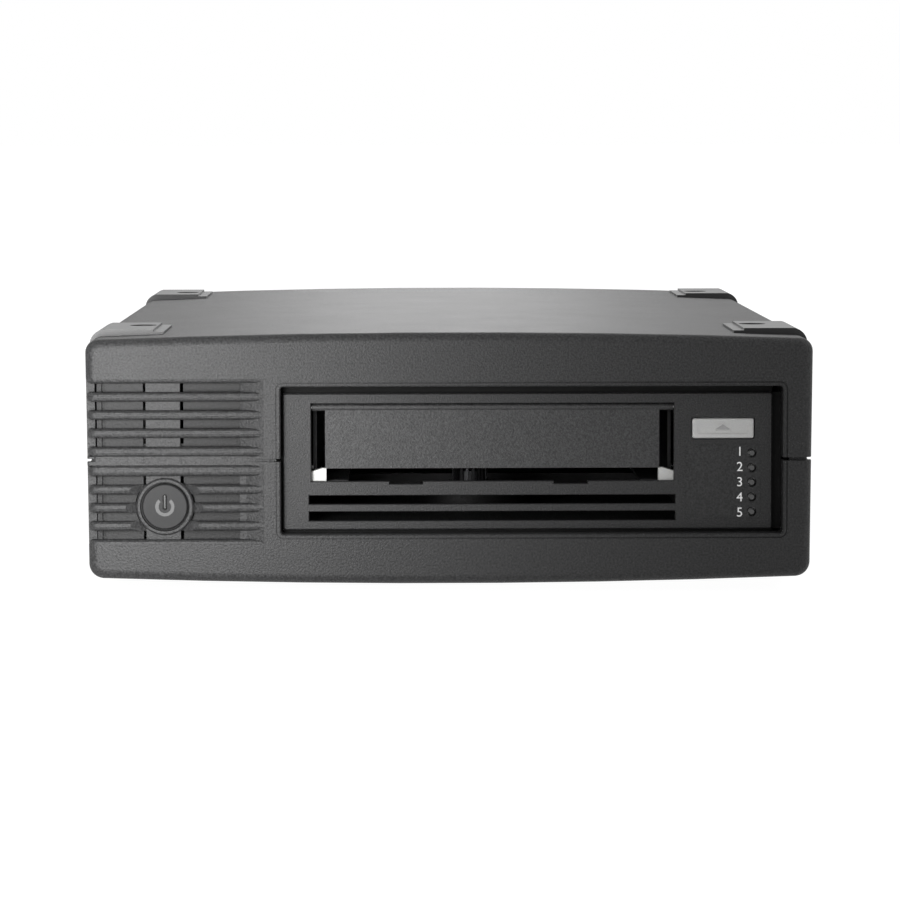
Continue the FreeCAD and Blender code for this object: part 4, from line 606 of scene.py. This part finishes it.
@dataclass
class PowerButton:
    """The round power button with its sign."""

    shop: Workshop
    ring_outer_mm: float = 2.9
    ring_inner_mm: float = 1.9
    ring_sides: int = 72
    gap_deg: float = 40.0
    bar_width_mm: float = 1.2
    bar_top_mm: float = 3.7
    bar_foot_mm: float = -0.9
    raise_mm: float = 0.12
    bar_round_share: float = 0.4

    def build(self) -> None:
        """Makes the sign and skins the button and its switch."""
        self.shop.skin("power_button", "button_plastic", Finish.BUTTON)
        self.shop.skin("power_switch", "black_plastic", Finish.BLACK)
        low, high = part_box("power_button")
        centre = Vector(((low.x + high.x) / 2, low.y, (low.z + high.z) / 2))
        ring = self.ring(centre)
        bar = self.bar(centre)
        for piece in (ring, bar):
            self.shop.adopt(piece, "power_button", "button_plastic", Finish.SIGN)

    def ring(self, centre: Vector) -> bpy.types.Object:
        """Makes the open ring of the power sign.

        Args:
            centre: the middle of the button's face.

        Returns:
            The ring, raised a little from the face.
        """
        self.shop.deselect()
        bpy.ops.mesh.primitive_circle_add(vertices=self.ring_sides, fill_type="NGON",
                                          radius=self.ring_outer_mm * MM, location=centre,
                                          rotation=(math.pi / 2, 0.0, 0.0))
        piece = bpy.context.object
        piece.name = "power_sign_ring"
        self.shop.settle(piece)
        bpy.ops.object.mode_set(mode="EDIT")
        bpy.ops.mesh.select_all(action="SELECT")
        bpy.ops.mesh.inset(thickness=(self.ring_outer_mm - self.ring_inner_mm) * MM)
        bpy.ops.mesh.delete(type="FACE")
        bpy.ops.mesh.select_all(action="DESELECT")
        bpy.ops.object.mode_set(mode="OBJECT")
        for face in piece.data.polygons:
            across, up = face.center.x - centre.x, face.center.z - centre.z
            face.select = abs(math.degrees(math.atan2(across, up))) < self.gap_deg
        bpy.ops.object.mode_set(mode="EDIT")
        bpy.ops.mesh.select_mode(type="FACE")
        bpy.ops.mesh.delete(type="FACE")
        bpy.ops.mesh.select_all(action="SELECT")
        bpy.ops.mesh.extrude_region_move(
            TRANSFORM_OT_translate={"value": (0.0, -self.raise_mm * MM, 0.0)})
        bpy.ops.mesh.select_all(action="SELECT")
        bpy.ops.mesh.normals_make_consistent(inside=False)
        bpy.ops.object.mode_set(mode="OBJECT")
        bpy.ops.object.shade_smooth_by_angle(angle=math.radians(30.0))
        return piece

    def bar(self, centre: Vector) -> bpy.types.Object:
        """Makes the upright bar of the power sign.

        Args:
            centre: the middle of the button's face.

        Returns:
            The bar with rounded ends.
        """
        self.shop.deselect()
        height = (self.bar_top_mm - self.bar_foot_mm) * MM
        middle = centre + Vector((0.0, -self.raise_mm * MM / 2,
                                  (self.bar_top_mm + self.bar_foot_mm) * MM / 2))
        bpy.ops.mesh.primitive_cube_add(size=1.0, location=middle,
                                        scale=(self.bar_width_mm * MM, self.raise_mm * MM, height))
        piece = bpy.context.object
        piece.name = "power_sign_bar"
        self.shop.settle(piece)
        for edge in piece.data.edges:
            first, last = (piece.data.vertices[i].co for i in edge.vertices)
            edge.select = abs(first.y - last.y) > self.raise_mm * MM / 2
        bpy.ops.object.mode_set(mode="EDIT")
        bpy.ops.mesh.select_mode(type="EDGE")
        bpy.ops.mesh.bevel(offset=self.bar_width_mm * MM * self.bar_round_share,
                            segments=4)
        bpy.ops.object.mode_set(mode="OBJECT")
        return piece


# ---------------------------------------------------------------- drive front
@dataclass
class DriveFront:
    """Bezel, door, lights, numerals and eject button."""

    shop: Workshop
    lights: int = 5
    numeral_mm: float = 4.0
    numeral_right_gap_mm: float = 0.7
    numeral_depth_mm: float = 0.05
    panel_depth_mm: float = 0.25
    sign_width_mm: float = 4.6
    sign_height_mm: float = 1.5
    sign_bar_mm: float = 0.8
    sign_gap_mm: float = 0.25
    sign_raise_mm: float = 0.15
    sign_edge_mm: float = 0.04
    dish_depth_mm: float = 0.35
    bay_gaps_mm: tuple[float, float, float, float] = (0.6, 2.8, 2.25, 0.9)
    # The strips in the bay gap are painted shade.
    foam_play_mm: float = 0.05
    foam_set_back_mm: float = 1.6
    foam_depth_mm: float = 2.0

    def build(self) -> None:
        """Skins the front and makes its numerals and eject sign."""
        self.shop.skin("drive_bezel", "bezel_plastic", Finish.BEZEL)
        self.shop.skin("cartridge_door", "door_plastic", Finish.DOOR)
        self.shop.skin("status_light_pipes", "light_plastic", Finish.LENS)
        self.shop.skin("eject_button", "eject_plastic", Finish.EJECT)
        self.shop.dress("eject_switch", Finish.BLACK)
        self.shop.skin("door_hinge_pin", "plated_steel", Finish.ROLLER)
        self.shop.dress("front_board", Finish.BOARD)
        self.numerals()
        self.eject_sign()
        self.gap_foam()

    def gap_foam(self) -> None:
        """Lays near-black strips in the gap between the drive and its bay: painted shade that
        closes the gap.
        """
        low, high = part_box("drive_bezel")
        left, right, top, bottom = (gap * MM for gap in self.bay_gaps_mm)
        play = self.foam_play_mm * MM
        front = low.y + self.foam_set_back_mm * MM
        back = front + self.foam_depth_mm * MM
        strips = {
            "left": (low.x - left + play, low.x - play, low.z, high.z),
            "right": (high.x + play, high.x + right - play, low.z, high.z),
            "top": (low.x, high.x, high.z + play, high.z + top - play),
            "bottom": (low.x, high.x, low.z - bottom + play, low.z - play),
        }
        for name, (x_low, x_high, z_low, z_high) in strips.items():
            self.shop.deselect()
            bpy.ops.mesh.primitive_cube_add(
                size=1.0,
                location=((x_low + x_high) / 2, (front + back) / 2, (z_low + z_high) / 2),
                scale=(x_high - x_low, back - front, z_high - z_low))
            piece = bpy.context.object
            piece.name = f"gap_foam_{name}"
            self.shop.settle(piece)
            self.shop.adopt(piece, "housing", "cable_black", Finish.FOAM)

    def numerals(self) -> None:
        """Prints the plain numbers beside the lights."""
        lights_low, lights_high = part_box("status_light_pipes")
        bezel_low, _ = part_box("drive_bezel")
        radius = (lights_high.x - lights_low.x) / 2
        step = (lights_high.z - lights_low.z - 2 * radius) / (self.lights - 1)
        for number in range(1, self.lights + 1):
            height = lights_high.z - radius - (number - 1) * step
            self.shop.deselect()
            bpy.ops.object.text_add(rotation=(math.pi / 2, 0.0, 0.0))
            words = bpy.context.object
            words.data.body = str(number)
            words.data.size = self.numeral_mm * MM
            words.data.align_x = "RIGHT"
            words.data.align_y = "CENTER"
            words.data.extrude = self.numeral_depth_mm * MM / 2
            words.location = (lights_low.x - self.numeral_right_gap_mm * MM,
                              bezel_low.y + self.panel_depth_mm * MM, height)
            self.shop.pick(words)
            bpy.ops.object.convert(target="MESH")
            piece = bpy.context.object
            piece.name = f"light_numeral_{number}"
            self.shop.settle(piece)
            self.shop.adopt(piece, "housing", "light_plastic", Finish.INK)

    def eject_sign(self) -> None:
        """Makes the triangle and the bar in the dish of the eject button."""
        low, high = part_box("eject_button")
        face = low.y + self.dish_depth_mm * MM
        centre_x = (low.x + high.x) / 2
        foot = (low.z + high.z) / 2 - (self.sign_height_mm - self.sign_bar_mm) / 2 * MM
        self.shop.deselect()
        bpy.ops.mesh.primitive_circle_add(vertices=3, fill_type="NGON", radius=0.5,
                                          location=(centre_x, face, foot),
                                          rotation=(math.pi / 2, 0.0, 0.0))
        piece = bpy.context.object
        piece.name = "eject_sign_arrow"
        self.shop.settle(piece)
        corners = ((-0.5, 0.0), (0.5, 0.0), (0.0, 1.0))
        placed = sorted(piece.data.vertices, key=lambda v: (v.co.z, v.co.x))
        for vertex, (across, up) in zip(placed, corners):
            vertex.co = (centre_x + across * self.sign_width_mm * MM, face,
                         foot + up * self.sign_height_mm * MM)
        bpy.ops.object.mode_set(mode="EDIT")
        bpy.ops.mesh.select_all(action="SELECT")
        bpy.ops.mesh.extrude_region_move(
            TRANSFORM_OT_translate={"value": (0.0, -self.sign_raise_mm * MM, 0.0)})
        bpy.ops.mesh.select_all(action="SELECT")
        bpy.ops.mesh.normals_make_consistent(inside=False)
        bpy.ops.object.mode_set(mode="OBJECT")
        self.shop.adopt(piece, "eject_button", "eject_plastic", Finish.EJECT_SIGN)
        self.shop.deselect()
        middle = (centre_x, face - self.sign_raise_mm / 2 * MM,
                  foot - (self.sign_gap_mm + self.sign_bar_mm / 2) * MM)
        bpy.ops.mesh.primitive_cube_add(size=1.0, location=middle,
                                        scale=(self.sign_width_mm * MM, self.sign_raise_mm * MM,
                                               self.sign_bar_mm * MM))
        bar = bpy.context.object
        bar.name = "eject_sign_bar"
        self.shop.settle(bar)
        bpy.ops.object.mode_set(mode="EDIT")
        bpy.ops.mesh.select_all(action="SELECT")
        bpy.ops.mesh.bevel(offset=self.sign_edge_mm * MM, segments=2)
        bpy.ops.object.mode_set(mode="OBJECT")
        self.shop.adopt(bar, "eject_button", "eject_plastic", Finish.EJECT)


# ---------------------------------------------------------------- inside and rear
@dataclass
class Inside:
    """The loader, the tape path, the boards, the supply and the rear."""

    shop: Workshop
    skins: tuple = (
        ("cradle_pins", "plated_steel", Finish.ROLLER),
        # Steel darkened to near black here is painted shade in the mouth.
        ("loader_slide", "plated_steel", Finish.BLACKED),
        # Near-black here is painted shade on the motor that shows through the slots.
        ("reel_motor", "cast_alloy", Finish.BLACK_OXIDE),
        # Darkened clutch steel is painted shade under the door.
        ("reel_clutch", "clutch_steel", Finish.CLUTCH),
        # Near-black here is painted shade on the motor that shows through the slots.
        ("take_up_motor", "cast_alloy", Finish.BLACK_OXIDE),
        ("take_up_reel", "reel_plastic", Finish.REEL),
        ("head_carriage", "head_ceramic", Finish.HEAD),
        ("guide_roller_1", "roller_steel", Finish.ROLLER),
        ("guide_roller_2", "roller_steel", Finish.ROLLER),
        ("guide_roller_3", "roller_steel", Finish.ROLLER),
        ("guide_roller_4", "roller_steel", Finish.ROLLER),
        ("roller_posts", "plated_steel", Finish.ROLLER),
        ("data_cable", "cable_black", Finish.CORD),
        ("power_cable", "cable_black", Finish.CORD),
        ("drive_screws", "screw_steel", Finish.BLACK_OXIDE),
        ("rear_screws", "screw_steel", Finish.SCREW),
        ("fan_screws", "screw_steel", Finish.SCREW),
        ("fan_frame", "black_plastic", Finish.BLACK),
        ("fan_rotor", "black_plastic", Finish.BLACK),
        ("rear_panel", "rear_steel", Finish.REAR),
        ("power_inlet", "black_plastic", Finish.BLACK),
        ("inlet_pins", "pin_brass", Finish.BRASS),
        ("data_port", "black_plastic", Finish.BLACK),
        # Steel darkened to near black here is painted shade in the gaps.
        ("drive_tray", "plated_steel", Finish.BLACKED),
    )
    plain: tuple = (
        # The near-black chassis, cradle and guides are painted shade in the mouth and gaps.
        ("drive_chassis", Finish.BLACKED), ("drive_lid", Finish.STEEL),
        ("cartridge_cradle", Finish.BLACKED), ("cradle_guides", Finish.BLACKED),
        ("cartridge_guides", Finish.WHITE), ("head_base", Finish.ALLOY),
        ("main_board", Finish.BOARD), ("drive_connector", Finish.BLACK),
        ("supply_case", Finish.STEEL), ("supply_board", Finish.BOARD),
    )

    def build(self) -> None:
        """Skins the round pieces and dresses the flat ones."""
        for node, slot, finish in self.skins:
            self.shop.skin(node, slot, finish)
        for node, finish in self.plain:
            self.shop.dress(node, finish)


# ---------------------------------------------------------------- studio
@dataclass
class Lamp:
    """A soft rectangular lamp.

    Args:
        name: the lamp's name.
        place: where it stands, in metres.
        aim: the point that it faces.
        size: its two sides in metres.
        power: its power in watts.
    """

    name: str
    place: Colour
    aim: Colour
    size: tuple[float, float]
    power: float

    def hang(self) -> None:
        """Puts the lamp into the scene."""
        data = bpy.data.lights.new(self.name, "AREA")
        data.shape = "RECTANGLE"
        data.size, data.size_y = self.size
        data.energy = self.power
        lamp = bpy.data.objects.new(self.name, data)
        bpy.context.scene.collection.objects.link(lamp)
        lamp.location = self.place
        facing = Vector(self.aim) - Vector(self.place)
        lamp.rotation_euler = facing.to_track_quat("-Z", "Y").to_euler()


@dataclass
class Studio:
    """Pale floor, soft lamps and the camera."""

    shop: Workshop
    floor_half: float = 30.0
    floor_shadow: float = 0.15
    floor_glow: float = 1.15
    ambient: float = 0.7
    lens_mm: float = 153.5
    camera_place: Colour = (-0.0116, -1.315, 0.140)
    camera_aim: Colour = (0.0001, -0.165, 0.0437)
    roll_deg: float = -0.116
    lamps: tuple[Lamp, ...] = (
        Lamp("left_front", (-0.12, -0.40, 0.07), (-0.339, -0.195, 0.06), (0.14, 0.14), 2.4),
        Lamp("top_strip", (0.0, 0.60, 0.32), (0.0, -0.10, 0.08), (0.16, 0.30), 0.46),
        Lamp("top_back", (0.0, 0.75, 0.55), (0.0, 0.0, 0.08), (0.5, 0.4), 0.3),
        Lamp("right_top", (0.5, -0.25, 0.45), (0.05, -0.15, 0.08), (0.2, 0.2), 0.4),
    )

    def build(self) -> None:
        """Lays the floor, hangs the lamps and sets the camera."""
        self.floor()
        self.sky()
        for lamp in self.lamps:
            lamp.hang()
        self.camera()
        scene = bpy.context.scene
        scene.view_settings.view_transform = "Standard"

    def background_rays(self, tree: bpy.types.NodeTree) -> bpy.types.NodeSocket:
        """Adds a value that is 1 for rays that see the background.

        Args:
            tree: the node tree to add to.

        Returns:
            The value, for camera, glossy and transmission rays.
        """
        path = tree.nodes.new("ShaderNodeLightPath")
        total = path.outputs["Is Camera Ray"]
        for name in ("Is Glossy Ray", "Is Transmission Ray"):
            either = tree.nodes.new("ShaderNodeMath")
            either.operation = "MAXIMUM"
            tree.links.new(total, either.inputs[0])
            tree.links.new(path.outputs[name], either.inputs[1])
            total = either.outputs[0]
        return total

    def floor(self) -> None:
        """Lays a pale floor that keeps a soft shadow."""
        self.shop.deselect()
        bpy.ops.mesh.primitive_grid_add(x_subdivisions=4, y_subdivisions=4,
                                        size=self.floor_half * 2, location=(0.0, 0.0, 0.0))
        floor = bpy.context.object
        floor.name = "studio_floor"
        material = bpy.data.materials.new("floor_pale")
        material.use_nodes = True
        tree = material.node_tree
        shader = tree.nodes["Principled BSDF"]
        shader.inputs["Base Color"].default_value = (0.9, 0.9, 0.9, 1.0)
        shader.inputs["Roughness"].default_value = 0.9
        glow = tree.nodes.new("ShaderNodeEmission")
        glow.inputs["Strength"].default_value = self.floor_glow
        mix = tree.nodes.new("ShaderNodeMixShader")
        share = tree.nodes.new("ShaderNodeMath")
        share.operation = "MULTIPLY"
        share.inputs[1].default_value = 1.0 - self.floor_shadow
        tree.links.new(self.background_rays(tree), share.inputs[0])
        tree.links.new(share.outputs[0], mix.inputs[0])
        tree.links.new(shader.outputs[0], mix.inputs[1])
        tree.links.new(glow.outputs[0], mix.inputs[2])
        tree.links.new(mix.outputs[0], tree.nodes["Material Output"].inputs["Surface"])
        floor.data.materials.append(material)

    def sky(self) -> None:
        """Sets a white background and a plain ambient light."""
        world = bpy.data.worlds.new("studio_world")
        bpy.context.scene.world = world
        world.use_nodes = True
        tree = world.node_tree
        light = tree.nodes["Background"]
        light.inputs["Color"].default_value = (1.0, 1.0, 1.0, 1.0)
        light.inputs["Strength"].default_value = self.ambient
        seen = tree.nodes.new("ShaderNodeBackground")
        seen.inputs["Color"].default_value = (1.0, 1.0, 1.0, 1.0)
        seen.inputs["Strength"].default_value = 1.0
        mix = tree.nodes.new("ShaderNodeMixShader")
        tree.links.new(self.background_rays(tree), mix.inputs[0])
        tree.links.new(light.outputs[0], mix.inputs[1])
        tree.links.new(seen.outputs[0], mix.inputs[2])
        tree.links.new(mix.outputs[0], tree.nodes["World Output"].inputs["Surface"])

    def camera(self) -> None:
        """Sets the camera in front of the drive, a little above it."""
        data = bpy.data.cameras.new("front_camera")
        data.lens = self.lens_mm
        data.sensor_width = 36.0
        camera = bpy.data.objects.new("front_camera", data)
        bpy.context.scene.collection.objects.link(camera)
        camera.location = self.camera_place
        facing = Vector(self.camera_aim) - Vector(self.camera_place)
        turn = facing.to_track_quat("-Z", "Y").to_matrix()
        roll = Matrix.Rotation(math.radians(self.roll_deg), 3, "Z")
        camera.rotation_euler = (turn @ roll).to_euler()
        data.clip_start, data.clip_end = 0.05, 100.0
        bpy.context.scene.camera = camera


def corners(bounds: tuple[Vector, Vector]) -> list[list[float]]:
    """Gives a box as plain lists of numbers."""
    return [[float(part) for part in corner] for corner in bounds]


def main() -> None:
    """Dresses the drive."""
    logging.basicConfig(level=logging.INFO, format="%(name)s: %(message)s")
    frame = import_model()
    shop = Workshop(frame)
    CaseSkins(shop).build()
    PowerButton(shop).build()
    DriveFront(shop).build()
    Inside(shop).build()
    Studio(shop).build()


if __name__ == "__main__":
    main()
